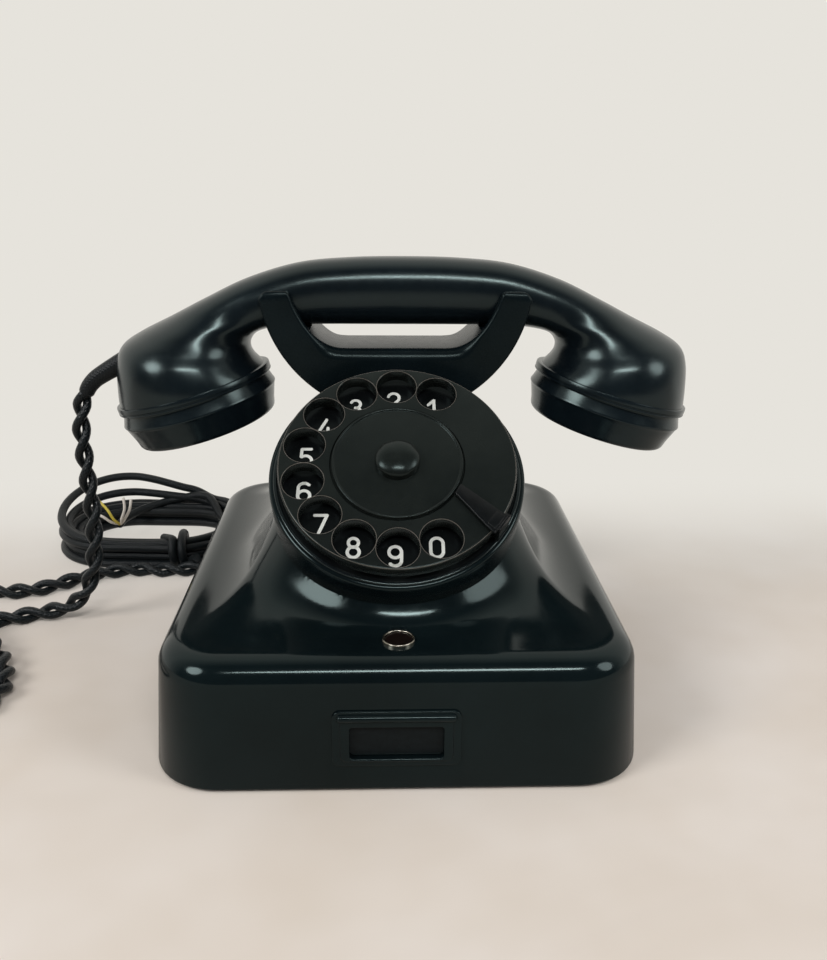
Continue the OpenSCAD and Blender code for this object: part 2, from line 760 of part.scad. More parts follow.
module clapper() {
    color(brass) difference() {
        union() {
            translate([0, clapper_y, clapper_z]) cylinder(r = clapper_hub_r, h = armature[2] + 1);
            translate([-armature[0] / 2, clapper_y - armature[1] / 2, clapper_z]) cube(armature);
            translate([0, clapper_y - arm_root, clapper_z + armature[2] / 2]) rotate([90, 0, 0])
                cylinder(r = arm_r, h = clapper_y - arm_root - hammer_y, $fn = 24);
            translate([0, hammer_y, clapper_z + armature[2] / 2]) sphere(hammer_r, $fn = 32);
        }
        translate([0, clapper_y, clapper_z - 1]) cylinder(r = clapper_pin_r + run, h = 3 * armature[2]);
    }
}

// ---- circuit parts on the base plate ----

induction_at = [-base_w / 2 + 34.5, -base_d / 2 + 44];
induction_l = 36;
induction_r = 8.5;
cheek = [22, 2, 21];
capacitor_at = [base_w / 2 - 45.5, -base_d / 2 + 40];
capacitor_size = [22, 42, 26];
terminal_at = [-28, -40];
terminal_size = [56, 15, 9];
terminal_pitch = 8;
terminals = 6;

module induction_coil() {
    color("#7a2f1c") translate([induction_at[0], induction_at[1] + induction_l, floor_z + cheek[2] / 2])
        rotate([90, 0, 0]) cylinder(r = induction_r, h = induction_l);
    color(fibre) for (y = [-cheek[1], induction_l])
        translate([induction_at[0] - cheek[0] / 2, induction_at[1] + y, floor_z]) cube(cheek);
}

module capacitor() {
    color("#8f9296") translate([capacitor_at[0], capacitor_at[1], floor_z]) {
        cube(capacitor_size);
        for (k = [1, 3]) translate([capacitor_size[0] / 2, k * capacitor_size[1] / 4, capacitor_size[2]])
            cylinder(r = 2.5, h = 3, $fn = 32);
    }
}

module terminal_block() {
    barrier = 1.2;
    step = terminal_size[2] / 2;
    translate([terminal_at[0], terminal_at[1], floor_z]) {
        color(fibre) cube([terminal_size[0], terminal_size[1], step]);
        color(fibre) for (i = [0:terminals])
            translate([(terminal_size[0] - barrier) / 2 + (i - terminals / 2) * terminal_pitch, 0, step])
                cube([barrier, terminal_size[1], step]);
        color(brass) for (i = [0:terminals - 1])
            translate([terminal_size[0] / 2 + (i + 0.5 - terminals / 2) * terminal_pitch, terminal_size[1] / 2, step])
                cylinder(r = 2.2, h = 1.6, $fn = 32);
    }
}

// ---- handset ----

bell_z = 106;
bell_x = cap_span / 2;

function lobe(v, e) = sign(v) * pow(abs(v), 2 / e);

// A section of the handset between an outer and an inner point of its side view.
function handset_section(row) =
    let (
        p = [row[0], row[1]], q = [row[2], row[3]], w = row[4], e = row[5],
        c = (p + q) / 2, h = (p - q) / 2
    )
    [for (i = [0:31]) let (a = i * 360 / 32)
        [c[0] + h[0] * lobe(cos(a), e), cradle_y - w * lobe(sin(a), e), c[1] + h[1] * lobe(cos(a), e)]];

// The bell's rows are counted from the middle of its rim, the grip's from the grip's underside.
rim_slope = 0.965 * tan(cap_tilt);
bell_rows = [[-0.965, 0.01 - rim_slope, 0.965, 0.01 + rim_slope, 1], [-0.965, 0.04, 0.88, 0.365, 0.985],
             [-0.94, 0.31, 0.785, 0.46, 0.92], [-0.82, 0.555, 0.74, 0.56, 0.82],
             [-0.6, 0.75, 0.755, 0.67, 0.71], [-0.235, 0.965, 0.845, 0.77, 0.6]];
grip_rows = [[-79, -16.6, -53, -1.3, 0.575], [-62, -8.6, -44, -0.3, 0.53], [-42, -2.6, -33, 0, 0.5],
             [-22, -0.5, -18, 0, 0.5]];

function left_rows() = concat(
    [for (r = bell_rows) [-bell_x + r[0] * bell_r, bell_z + r[1] * bell_r,
                          -bell_x + r[2] * bell_r, bell_z + r[3] * bell_r, r[4] * bell_r, 2]],
    [for (r = grip_rows) [r[0] * cap_span / 170, grip_z + grip_h + r[1], r[2] * cap_span / 170, grip_z + r[3],
                          r[4] * grip_w, 2.3]]);

function mirrored(rows) = [for (i = [len(rows) - 1:-1:0])
    let (r = rows[i]) [-r[0], r[1], -r[2], r[3], r[4], r[5]]];

function catmull(a, b, c, d, t) =
    0.5 * (2 * b + (c - a) * t + (2 * a - 5 * b + 4 * c - d) * t * t + (3 * b - a - 3 * c + d) * t * t * t);

// Passes a smooth line through the points, with steps parts between neighbours.
function smooth(points, steps) =
    let (n = len(points))
    concat([for (i = [0:n - 2], k = [0:steps - 1])
        catmull(points[max(i - 1, 0)], points[i], points[i + 1], points[min(i + 2, n - 1)], k / steps)],
        [points[n - 1]]);

handset_rows = concat(left_rows(), [[0, grip_z + grip_h, 0, grip_z, grip_w / 2, 2.3]], mirrored(left_rows()));

// Draws at a cap: side -1 is the mouth cap on the left, 1 the ear cap on the right.
module at_cap(side) {
    translate([handset_shift + side * bell_x, cradle_y, bell_z]) rotate([0, -side * (180 - cap_tilt), 0]) children();
}

rim_h = 3.2;
cap_wall = 3;
capsule_r = 23;
capsule_h = 17;
capsule_in = 7;

module handset_body() {
    color(bakelite) difference() {
        union() {
            translate([handset_shift, 0, 0]) stack([for (r = smooth(handset_rows, 2)) handset_section(r)]);
            for (side = [-1, 1]) at_cap(side) translate([0, 0, -rim_h]) cylinder(r = bell_r + 0.6, h = rim_h, $fn = 96);
        }
        for (side = [-1, 1]) at_cap(side) translate([0, 0, -capsule_in]) cylinder(r = capsule_r + free, h = capsule_in + 10);
    }
}

module cap_shell() {
    groove = 0.9;
    band = 5.4;
    rotate_extrude($fn = 96) polygon(concat(
        [[capsule_r + free, 0], [bell_r - 0.8, 0], [bell_r - 0.8, groove], [bell_r + 0.6, groove],
         [bell_r + 0.6, band], [bell_r + 0.1, band + 0.8]],
        arc(bell_r - 5, cap_h - 2, 2, 0, 90, 4),
        [for (r = [bell_r - 9:-4:2]) [r, cap_h - 2.4 * (1 - pow(r / (bell_r - 5), 2))]],
        [[0, cap_h - 2.4], [0, cap_h - 2.4 - cap_wall], [capsule_r + free, cap_h - cap_wall]]));
}

module cap_holes(rings) {
    translate([0, 0, cap_h - 12]) for (ring = rings, i = [0:ring[1] - 1])
        rotate(i * 360 / ring[1]) translate([ring[0], 0, 0]) cylinder(r = ring[2], h = 20, $fn = 24);
}

module ear_cap() {
    color(bakelite) at_cap(1) difference() {
        cap_shell();
        cap_holes([[0, 1, 1.6], [6, 6, 1.6]]);
    }
}

module mouth_cap() {
    color(bakelite) at_cap(-1) difference() {
        cap_shell();
        cap_holes([[0, 1, 1.3], [5.5, 6, 1.3], [11, 12, 1.3]]);
    }
}

module capsule(side) {
    color(steel) at_cap(side) translate([0, 0, -capsule_in + lay]) {
        cylinder(r = capsule_r, h = capsule_h - 3);
        cylinder(r = capsule_r - 5, h = capsule_h - 1);
    }
}

sleeve_root = [handset_shift - bell_x - 0.917 * bell_r, bell_z + 0.345 * bell_r];
sleeve_drop = 26;
sleeve_l = 11;
module cord_sleeve() {
    color(textile) translate([sleeve_root[0], cradle_y, sleeve_root[1]]) rotate([0, -90 - sleeve_drop, 0])
        rotate_extrude($fn = 32) polygon([
            [0, -3], [3.6, -3], [4.6, 2], [handset_cord_d / 2 + 0.2, sleeve_l], [0, sleeve_l]]);
}

// ---- cords ----

module gland(k, cord_d) {
    color("#202020") translate([gland_x[k], base_d / 2 - skirt_draft * (gland_z - ground_gap) / skirt_h, gland_z])
        rotate([-90 + skirt_lean, 0, 0]) rotate_extrude($fn = 48) polygon([
            [0, -wall - 1.6], [gland_r + 1.6, -wall - 1.6], [gland_r + 1.6, -wall - run], [gland_r - run, -wall - run],
            [gland_r - run, run], [gland_r + 2, run], [gland_r + 2, 1], [cord_d / 2 + 0.8, nozzle_l], [0, nozzle_l]]);
}

handset_route = [
    [-120.8, 27, 111.6], [-123.6, 27, 109.8], [-126.6, 27, 105], [-129, 27, 97], [-130, 27, 86],
    [-129.8, 27, 70], [-129.3, 27, 54], [-130, 27, 39], [-132, 27, 26], [-137, 27.5, 14], [-146, 28.5, 6.5], [-158, 28, 3.8], [-172, 23, 3.4],
    [-190, 16, 3.4], [-210, 5, 3.4], [-222, -15, 3.4], [-220, -40, 3.4], [-204, -59, 3.4], [-180, -66, 3.4],
    [-159, -55, 3.4], [-151, -34, 3.4], [-159, -12, 4.2], [-174, 4, 7.5], [-190, 17, 10.2], [-204, 30, 7.4],
    [-207, 43, 4.2], [-196, 50, 3.4], [-184, 50, 3.4], [-172, 52, 3.4], [-162, 58, 3.4], [-153, 67, 3.4],
    [-141, 77, 3.4], [-126, 80, 3.4], [-110, 78, 3.4], [-97, 80, 3.4], [-86, 85.5, 3.4], [-75, 93, 3.4],
    [-65, 101, 3.4], [-56, 109, 3.8], [-46, 113.5, 6], [-38.5, 109, 9.5], [-36, 102, 12], [-36, 95, 12.4]];
line_route = [
    [-8, 95, 12.4], [-8, 104, 11], [-12, 118, 7], [-24, 131, 3.4], [-42, 139, 2.6], [-58, 141, 3.2],
    [-70, 138, 5]];

function unit(v) = v / norm(v);
function tangent(p, i) = unit(p[min(i + 1, len(p) - 1)] - p[max(i - 1, 0)]);
function upright(v, t) = unit(v - t * (v * t));

// Sweeps a round tube along the points, carrying its side vector from ring to ring.
module tube(points, d) {
    sides = 8;
    n = len(points);
    normals = [for (i = 0, v = upright([0, 1, 0], tangent(points, 0)); i < n;
        i = i + 1, v = i < n ? upright(v, tangent(points, i)) : v) v];
    rings = [for (i = [0:n - 1]) let (t = tangent(points, i), a = normals[i], b = cross(t, a))
        [for (k = [0:sides - 1]) let (w = 360 * (k + 0.5) / sides) points[i] + (a * cos(w) + b * sin(w)) * d / 2]];
    stack(rings);
}

module handset_cord() {
    hanging = 12;
    last = len(handset_route) - 1;
    color(textile) tube(concat([for (i = [0:hanging - 1]) handset_route[i]],
                               smooth([for (i = [hanging:last]) handset_route[i]], 2)),
                        handset_cord_d - 0.4);
}

module line_cord() {
    color(textile) tube(line_route, line_cord_d);
}

coil_centre = [-118, 125];
coil_turn = -6;
coil_end_r = 30;
coil_half = 24;
coil_band = 16;
coil_high = 17;

module stadium(half, r) {
    square([2 * half, 2 * r], center = true);
    for (s = [-1, 1]) translate([s * half, 0]) circle(r);
}

module line_coil() {
    color(textile) translate([coil_centre[0], coil_centre[1], 0]) rotate(coil_turn) linear_extrude(coil_high)
        difference() {
            stadium(coil_half, coil_end_r);
            stadium(coil_half, coil_end_r - coil_band);
        }
}

housing();
base_plate();
foot(1);  // foot_1
foot(2);  // foot_2
foot(3);  // foot_3
foot(4);  // foot_4
base_screws();
label_frame();
label_card();
button_ring();
button_contacts();
dial_case();
number_plate();
dial_frame();
finger_stop();
spring_barrel();
pulse_contacts();
cradle_guide();
switch_bracket();
hook_contacts();
ringer_frame();
ringer_coil(-1);  // ringer_coil_1
ringer_coil(1);  // ringer_coil_2
gong(-1);  // gong_1
gong(1);  // gong_2
gong_post(-1);  // gong_post_1
gong_post(1);  // gong_post_2
induction_coil();
capacitor();
terminal_block();
gland(0, handset_cord_d);  // handset_gland
gland(1, line_cord_d);  // line_gland
finger_wheel();
wheel_disc();
wheel_knob();
dial_shaft();
main_gear();
pulse_cam();
governor();
push_button();
cradle();
hook_lever();
clapper();
handset_body();
ear_cap();
mouth_cap();
capsule(1);  // ear_capsule
capsule(-1);  // mouth_capsule
cord_sleeve();
handset_cord();
line_cord();
line_coil();
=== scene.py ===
import bpy, bmesh, math
import numpy as np
from mathutils import Matrix, Vector


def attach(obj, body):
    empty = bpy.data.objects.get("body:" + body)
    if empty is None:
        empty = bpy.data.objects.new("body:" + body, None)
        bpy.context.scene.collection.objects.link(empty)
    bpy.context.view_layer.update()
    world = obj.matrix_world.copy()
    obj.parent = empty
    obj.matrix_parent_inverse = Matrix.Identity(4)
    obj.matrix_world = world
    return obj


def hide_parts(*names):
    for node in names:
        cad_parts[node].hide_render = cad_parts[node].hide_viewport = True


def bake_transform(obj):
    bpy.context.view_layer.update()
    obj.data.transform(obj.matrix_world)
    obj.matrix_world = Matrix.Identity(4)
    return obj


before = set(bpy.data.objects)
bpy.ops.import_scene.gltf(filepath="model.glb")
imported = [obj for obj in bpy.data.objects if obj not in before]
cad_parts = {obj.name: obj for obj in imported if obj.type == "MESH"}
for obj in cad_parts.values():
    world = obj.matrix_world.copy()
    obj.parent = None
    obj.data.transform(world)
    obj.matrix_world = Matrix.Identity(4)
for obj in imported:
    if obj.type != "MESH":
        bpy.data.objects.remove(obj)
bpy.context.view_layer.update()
mm = 0.001

# Place in millimetres, angles in degrees, focal length and long side in pixels.
camera = {"focalPixels": 900, "imageLong": 960, "sensor": 36,
          "place": (-4.5, -335.7, 194.1), "pitch": 19.39, "yaw": 1.96, "roll": 0.51}


def addObject(name, data):
    obj = bpy.data.objects.new(name, data)
    bpy.context.scene.collection.objects.link(obj)
    return obj


def makeCamera(c):
    data = bpy.data.cameras.new("camera")
    data.sensor_width = c["sensor"]
    data.lens = c["sensor"] * c["focalPixels"] / c["imageLong"]
    data.clip_start = 0.01
    p, y, r = (math.radians(c[k]) for k in ("pitch", "yaw", "roll"))
    turn = Matrix.Rotation(-y, 3, "Z")
    ahead = turn @ Vector((0, math.cos(p), -math.sin(p)))
    up = turn @ Vector((0, math.sin(p), math.cos(p)))
    right = turn @ Vector((1, 0, 0))
    rolledRight = right * math.cos(r) + up * math.sin(r)
    rolledUp = up * math.cos(r) - right * math.sin(r)
    obj = addObject("camera", data)
    obj.matrix_world = Matrix.Translation(Vector(c["place"]) * mm) @ Matrix(
        (rolledRight, rolledUp, -ahead)).transposed().to_4x4()
    bpy.context.scene.camera = obj


makeCamera(camera)
bpy.context.scene.view_settings.view_transform = "Standard"
print("camera placed")


def hexColour(text):
    c = [int(text[i:i + 2], 16) / 255 for i in (1, 3, 5)]
    return [v / 12.92 if v <= 0.04045 else ((v + 0.055) / 1.055) ** 2.4 for v in c] + [1]


def setInputs(tree, node, inputs):
    # socket name or number -> a value, or (node, output) to link from
    for k, v in inputs.items():
        if isinstance(v, tuple) and hasattr(v[0], "outputs"):
            tree.links.new(v[0].outputs[v[1]], node.inputs[k])
        else:
            node.inputs[k].default_value = v


def addNode(tree, kind, settings={}, inputs={}, stops=()):
    # kind: a shader node's without its prefix, any other's whole; stops: a colour ramp's places
    # and colours
    node = tree.nodes.new(kind if "Node" in kind else "ShaderNode" + kind)
    for k, v in settings.items():
        setattr(node, k, v)
    setInputs(tree, node, inputs)
    for k, (place, colour) in enumerate(stops):
        node.color_ramp.elements[k].position = place
        node.color_ramp.elements[k].color = hexColour(colour)
    return node


def newMaterial(name):
    mat = bpy.data.materials.new(name)
    mat.use_nodes = True
    tree = mat.node_tree
    tree.nodes.clear()
    shader = addNode(tree, "BsdfPrincipled")
    addNode(tree, "OutputMaterial", {}, {"Surface": (shader, 0)})
    return mat, tree, shader, (addNode(tree, "TexCoord"), "Object")


def grain(where, sizeMm, detail, roughness=0.5):
    # what a noise pattern of this size takes
    return {"Vector": where, "Scale": 1 / (sizeMm * mm), "Detail": detail, "Roughness": roughness}


# The skin of a moulding. Dust: grains apart, and a grain's radius as a share of that. Smears of
# wiping: how big, and how much rougher. Waves from the mould: how long and how deep.
skin = {"dustApart": 9, "dustGrain": 0.014, "dust": "#8d8a82", "smearSize": 3.2, "smear": 0.07,
        "waveLong": 14, "waveDeep": 0.5, "ior": 1.55, "tint": (0.78, 1.0, 0.98, 1)}


def phenolic(name, dark, light, polish, hazeMm, dustShare, gloss=0.18):
    # Black phenolic moulding: the skin left by the mould and years of wiping gives a deep,
    # slightly cold gloss with a faint haze and a little dust.
    mat, tree, shader, where = newMaterial(name)
    haze = addNode(tree, "TexNoise", {}, grain(where, hazeMm, 4.0, 0.6))
    tone = addNode(tree, "ValToRGB", {}, {"Fac": (haze, 0)}, [(0.3, dark), (0.75, light)])
    specks = addNode(tree, "TexVoronoi", {"feature": "F1"},
                     {"Vector": where, "Scale": 1 / (skin["dustApart"] * mm)})
    chosen = addNode(tree, "Math", {"operation": "GREATER_THAN"},
                     {0: (specks, "Color"), 1: 1 - dustShare})
    near = addNode(tree, "Math", {"operation": "LESS_THAN"},
                   {0: (specks, "Distance"), 1: skin["dustGrain"]})
    both = addNode(tree, "Math", {"operation": "MULTIPLY"}, {0: (near, 0), 1: (chosen, 0)})
    dusty = addNode(tree, "Mix", {"data_type": "RGBA"},
                    {0: (both, 0), 6: (tone, 0), 7: hexColour(skin["dust"])})
    wiped = addNode(tree, "TexNoise", {}, grain(where, skin["smearSize"], 5.0, 0.7))
    rough = addNode(tree, "MapRange", {},
                    {0: (wiped, 0), 1: 0.3, 2: 0.8, 3: polish, 4: polish + skin["smear"]})
    wave = addNode(tree, "TexNoise", {}, grain(where, skin["waveLong"], 1.0))
    relief = addNode(tree, "Bump", {},
                     {"Height": (wave, 0), "Strength": 0.05, "Distance": skin["waveDeep"] * mm})
    setInputs(tree, shader, {
        "Base Color": (dusty, 2), "Roughness": (rough, 0), "Normal": (relief, 0), "IOR": skin["ior"],
        "Specular IOR Level": gloss, "Specular Tint": skin["tint"]})
    return mat


def grained(name, colour, pattern, roughness, bump, sockets, stretch=None):
    # one noise gives tone, roughness (least, most) and relief (strength, millimetres) together
    mat, tree, shader, where = newMaterial(name)
    if stretch:
        where = (addNode(tree, "Mapping", {}, {"Vector": where, "Scale": stretch}), 0)
    noise = addNode(tree, "TexNoise", {}, grain(where, *pattern))
    tone = addNode(tree, "ValToRGB", {}, {"Fac": (noise, 0)},
                   [(0.25, colour[0]), (0.8, colour[1])])
    rough = addNode(tree, "MapRange", {}, {0: (noise, 0), 3: roughness[0], 4: roughness[1]})
    relief = addNode(tree, "Bump", {},
                     {"Height": (noise, 0), "Strength": bump[0], "Distance": bump[1] * mm})
    setInputs(tree, shader, {"Base Color": (tone, 0), "Roughness": (rough, 0), "Normal": (relief, 0),
                             **sockets})
    return mat


def metal(name, colour, roughness, brushMm):
    # Sheet or turned metal: fine tool lines stretched along one way.
    return grained(name, colour, (brushMm, 3.0), (roughness - 0.06, roughness + 0.08), (0.12, 0.1),
                   {"Metallic": 1.0}, (1, 1, 12))


def plainSolid(name, colour, roughness, grainMm, bumpMm, gloss=0.5):
    # Rubber, fibre board, enamel, varnish: one tone with a fine grain.
    return grained(name, colour, (grainMm, 4.0, 0.6), (roughness - 0.05, roughness + 0.05),
                   (0.3, bumpMm), {"IOR": 1.5, "Specular IOR Level": gloss})


def braid(name, dark, light, roughness, aroundCount, alongMm):
    # Braided textile over rubber: two families of yarns cross along the cord.
    # The piece's map runs round the cord in u (0 to 1) and along it in v (metres).
    mat, tree, shader, _ = newMaterial(name)
    uv = addNode(tree, "UVMap", {"uv_map": "cordMap"})
    parts = addNode(tree, "SeparateXYZ", {}, {0: (uv, 0)})
    around, along = [addNode(tree, "Math", {"operation": "MULTIPLY"},
                             {0: (parts, axis), 1: 2 * math.pi * rate})
                     for axis, rate in enumerate((aroundCount, 1 / (alongMm * mm)))]
    waves = []
    for kind in ("ADD", "SUBTRACT"):
        angle = addNode(tree, "Math", {"operation": kind}, {0: (around, 0), 1: (along, 0)})
        waves.append(addNode(tree, "Math", {"operation": "SINE"}, {0: (angle, 0)}))
    yarns = addNode(tree, "Math", {"operation": "MAXIMUM"}, {0: (waves[0], 0), 1: (waves[1], 0)})
    tone = addNode(tree, "ValToRGB", {}, {"Fac": (yarns, 0)}, [(0.0, dark), (0.9, light)])
    relief = addNode(tree, "Bump", {},
                     {"Height": (yarns, 0), "Strength": 0.45, "Distance": 0.12 * mm})
    setInputs(tree, shader, {
        "Base Color": (tone, 0), "Normal": (relief, 0), "Roughness": roughness,
        "Specular IOR Level": 0.3, "Sheen Weight": 0.04, "Sheen Roughness": 0.4})
    return mat


finish = {
    "shell": phenolic("mouldedPhenolic", "#070d0f", "#0e1719", 0.10, 60, 0.05, 0.25),
    "dialFace": phenolic("dialPhenolic", "#0e1110", "#191c1a", 0.22, 25, 0.03, 0.25),
    "handset": phenolic("handsetPhenolic", "#070c10", "#0f171c", 0.2, 40, 0.02, 0.42),
    "plate": phenolic("numberPlateEnamel", "#08090a", "#0d0f10", 0.22, 30, 0.0),
    "cradle": phenolic("cradlePhenolic", "#060c0e", "#0d1519", 0.24, 40, 0.02, 0.14),
    "bezel": phenolic("bezelPhenolic", "#0a0d0f", "#101416", 0.12, 40, 0.02, 0.6),
    # painted highlight: a pale tone that stands for light caught on the finger wheel's edges
    "paintedEdgeHighlight": plainSolid("paintedEdgeHighlight", ("#4d4842", "#68625a"), 0.35, 4, 0.05),
    "figure": plainSolid("figureEnamel", ("#e4e5de", "#f2f3ec"), 0.4, 1.2, 0.02),
    "card": plainSolid("labelCard", ("#0b1011", "#12181a"), 0.5, 1.5, 0.03, 0.15),
    "nickel": metal("nickelPlate", ("#a9a294", "#d8d2c4"), 0.24, 0.5),
    "steel": metal("zincedSteel", ("#8f9499", "#b9bdc1"), 0.34, 0.6),
    "brass": metal("turnedBrass", ("#a9833a", "#d1a955"), 0.3, 0.6),
    "blackMetal": plainSolid("stoveEnamel", ("#0b0d0e", "#131617"), 0.22, 6, 0.01, 0.2),
    "button": plainSolid("buttonMoulding", ("#0e0806", "#170c09"), 0.3, 3, 0.01),
    "rubber": plainSolid("footRubber", ("#141414", "#1f1f1f"), 0.75, 0.8, 0.05),
    "fibre": plainSolid("fibreBoard", ("#4a3220", "#6e4f33"), 0.6, 0.7, 0.05),
    "winding": plainSolid("varnishedWire", ("#5e2413", "#8c3c20"), 0.35, 0.35, 0.08),
    "capacitor": plainSolid("tinnedCan", ("#7c8084", "#94989c"), 0.4, 4, 0.02),
    "cordBraid": braid("braidedCotton", "#05090b", "#171e21", 0.32, 8, 1.6),
    "lineSheath": braid("smoothBraid", "#03080a", "#091216", 0.42, 12, 1.4),
    "yellowWire": plainSolid("yellowInsulation", ("#c9b23a", "#e0cc55"), 0.4, 2, 0.01),
    "paleWire": plainSolid("paleInsulation", ("#d8cfc4", "#ece4d9"), 0.45, 2, 0.01),
}
print("materials made")


def placed(x, y, z, degrees=0, axis="X"):
    return Matrix.Translation((x, y, z)) @ Matrix.Rotation(math.radians(degrees), 4, axis)


def shadeMesh(mesh, sharpDegrees=32):
    mesh.shade_smooth()
    mesh.set_sharp_from_angle(angle=math.radians(sharpDegrees))


def meshObject(name, points, faces, material, sharpDegrees=32, place=None):
    # points in millimetres; place turns them into the phone's frame
    mesh = bpy.data.meshes.new(name)
    pts = np.asarray(points, float)
    if place is not None:
        m = np.array(place)
        pts = pts @ m[:3, :3].T + m[:3, 3]
    mesh.from_pydata([tuple(p) for p in pts * mm], [], [tuple(int(i) for i in f) for f in faces])
    mesh.materials.append(material)
    mesh.validate()
    shadeMesh(mesh, sharpDegrees)
    return addObject(name, mesh)


def bakeModifiers(obj):
    graph = bpy.context.evaluated_depsgraph_get()
    graph.update()
    mesh = bpy.data.meshes.new_from_object(obj.evaluated_get(graph))
    old = obj.data
    obj.modifiers.clear()
    obj.data = mesh
    bpy.data.meshes.remove(old)


def eased(obj, widthMm, angle):
    # small rounds along every edge sharper than the angle
    mod = obj.modifiers.new("edge", "BEVEL")
    mod.width = widthMm * mm
    mod.segments = 3
    mod.limit_method = "ANGLE"
    mod.angle_limit = math.radians(angle)
    mod.use_clamp_overlap = False
    bakeModifiers(obj)
    shadeMesh(obj.data)


def cut(obj, cutter, operation="DIFFERENCE"):
    mod = obj.modifiers.new("cut", "BOOLEAN")
    mod.object = cutter
    mod.operation = operation
    mod.solver = "EXACT"
    bakeModifiers(obj)
    bpy.data.objects.remove(cutter)


def joined(parts, name):
    # one mesh from several, with the first one's material
    bm = bmesh.new()
    material = parts[0].data.materials[0]
    for p in parts:
        bm.from_mesh(p.data)
        bpy.data.objects.remove(p)
    mesh = bpy.data.meshes.new(name)
    bm.to_mesh(mesh)
    bm.free()
    mesh.materials.append(material)
    return addObject(name, mesh)


def cleanNormals(obj, mergeMm=0.001):
    bm = bmesh.new()
    bm.from_mesh(obj.data)
    if mergeMm:
        bmesh.ops.remove_doubles(bm, verts=bm.verts, dist=mergeMm * mm)
    bmesh.ops.recalc_face_normals(bm, faces=bm.faces)
    bm.to_mesh(obj.data)
    bm.free()


def finished(obj, body, slot, *nodes, place=None):
    if place is not None:
        m = Matrix(place)
        m.translation = m.translation * mm
        obj.data.transform(m)
    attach(obj, body)
    if nodes:
        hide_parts(*nodes)
    return obj


def ringFaces(count, n, closed=False, start=0):
    # quads between rings of n points that follow one another
    faces = []
    for k in range(count if closed else count - 1):
        a, b = start + k * n, start + (k + 1) % count * n
        faces += [(a + i, a + (i + 1) % n, b + (i + 1) % n, b + i) for i in range(n)]
    return faces


def fanFaces(count, n):
    # the two ends, as fans round the two centre points that follow the rings
    last, centre = (count - 1) * n, count * n
    return ([((i + 1) % n, i, centre) for i in range(n)]
            + [(last + i, last + (i + 1) % n, centre + 1) for i in range(n)])


def arcPoints(cx, cy, r, start, sweep, n):
    return [(cx + r * math.cos(math.radians(start + sweep * i / n)),
             cy + r * math.sin(math.radians(start + sweep * i / n))) for i in range(n + 1)]


def lathe(name, profile, material, segments, place=None, sharpDegrees=32):
    # profile: (radius, height), up the outside from one centre to the other, or a closed line
    # that keeps off the axis
    angles = np.arange(segments) * 2 * math.pi / segments
    rings = [p for p in profile if p[0] > 1e-6]
    points = [(r * math.cos(a), r * math.sin(a), h) for r, h in rings for a in angles]
    solid = profile[0][0] == 0
    faces = ringFaces(len(rings), segments, not solid)
    if solid:
        points += [(0, 0, profile[0][1]), (0, 0, profile[-1][1])]
        faces += fanFaces(len(rings), segments)
    return meshObject(name, points, faces, material, sharpDegrees, place)


def rod(radius, low, high, material, segments, place):
    return lathe("rod", [(0, low), (radius, low), (radius, high), (0, high)], material, segments, place)


def loft(name, rings, material):
    points = [np.asarray(r, float) for r in rings]
    points += [np.mean(rings[end], axis=0, keepdims=True) for end in (0, -1)]
    n = len(rings[0])
    return meshObject(name, np.concatenate(points), ringFaces(len(rings), n) + fanFaces(len(rings), n),
                      material)


def prism(name, outline, low, high, material, place=None):
    n = len(outline)
    points = [(x, y, z) for z in (low, high) for x, y in outline]
    faces = [tuple(reversed(range(n))), tuple(range(n, 2 * n))] + ringFaces(2, n)
    return meshObject(name, points, faces, material, 32, place)


def cornerArcs(halfX, y0, y1, r, turnPoints):
    corners = [(halfX - r, y1 - r, 0), (-halfX + r, y1 - r, 90),
               (-halfX + r, y0 + r, 180), (halfX - r, y0 + r, 270)]
    return [arcPoints(cx, cy, r, start, 90, turnPoints) for cx, cy, start in corners]


def softRect(w, h, r):
    return [p for arc in cornerArcs(w / 2, -h / 2, h / 2, r, 8) for p in arc]


def smoothLine(points, steps):
    # Catmull-Rom through the points
    p = np.asarray(points, float)
    out = []
    for i in range(len(p) - 1):
        a, b, c, d = p[max(i - 1, 0)], p[i], p[i + 1], p[min(i + 2, len(p) - 1)]
        for k in range(steps):
            t = k / steps
            out.append(0.5 * (2 * b + (c - a) * t + (2 * a - 5 * b + 4 * c - d) * t * t
                              + (3 * b - a - 3 * c + d) * t ** 3))
    return np.array(out + [p[-1]])


def runLengths(points):
    return np.concatenate([[0], np.cumsum(np.linalg.norm(np.diff(points, axis=0), axis=1))])


def evenly(points, step):
    lengths = runLengths(points)
    at = np.linspace(0, lengths[-1], max(2, int(round(lengths[-1] / step)) + 1))
    return np.stack([np.interp(at, lengths, points[:, k]) for k in range(3)], 1), at


def carriedFrames(path):
    # two directions square to the path, carried along it without a twist
    tangents = np.gradient(path, axis=0)
    tangents /= np.linalg.norm(tangents, axis=1, keepdims=True)
    normal = np.cross(tangents[0], [0.0, 0.0, 1.0])
    if np.linalg.norm(normal) < 0.1:
        normal = np.cross(tangents[0], [0.0, 1.0, 0.0])
    normals = []
    for t in tangents:
        normal = normal - t * (normal @ t)
        normal /= np.linalg.norm(normal)
        normals.append(normal)
    return np.array(normals), np.cross(tangents, normals)


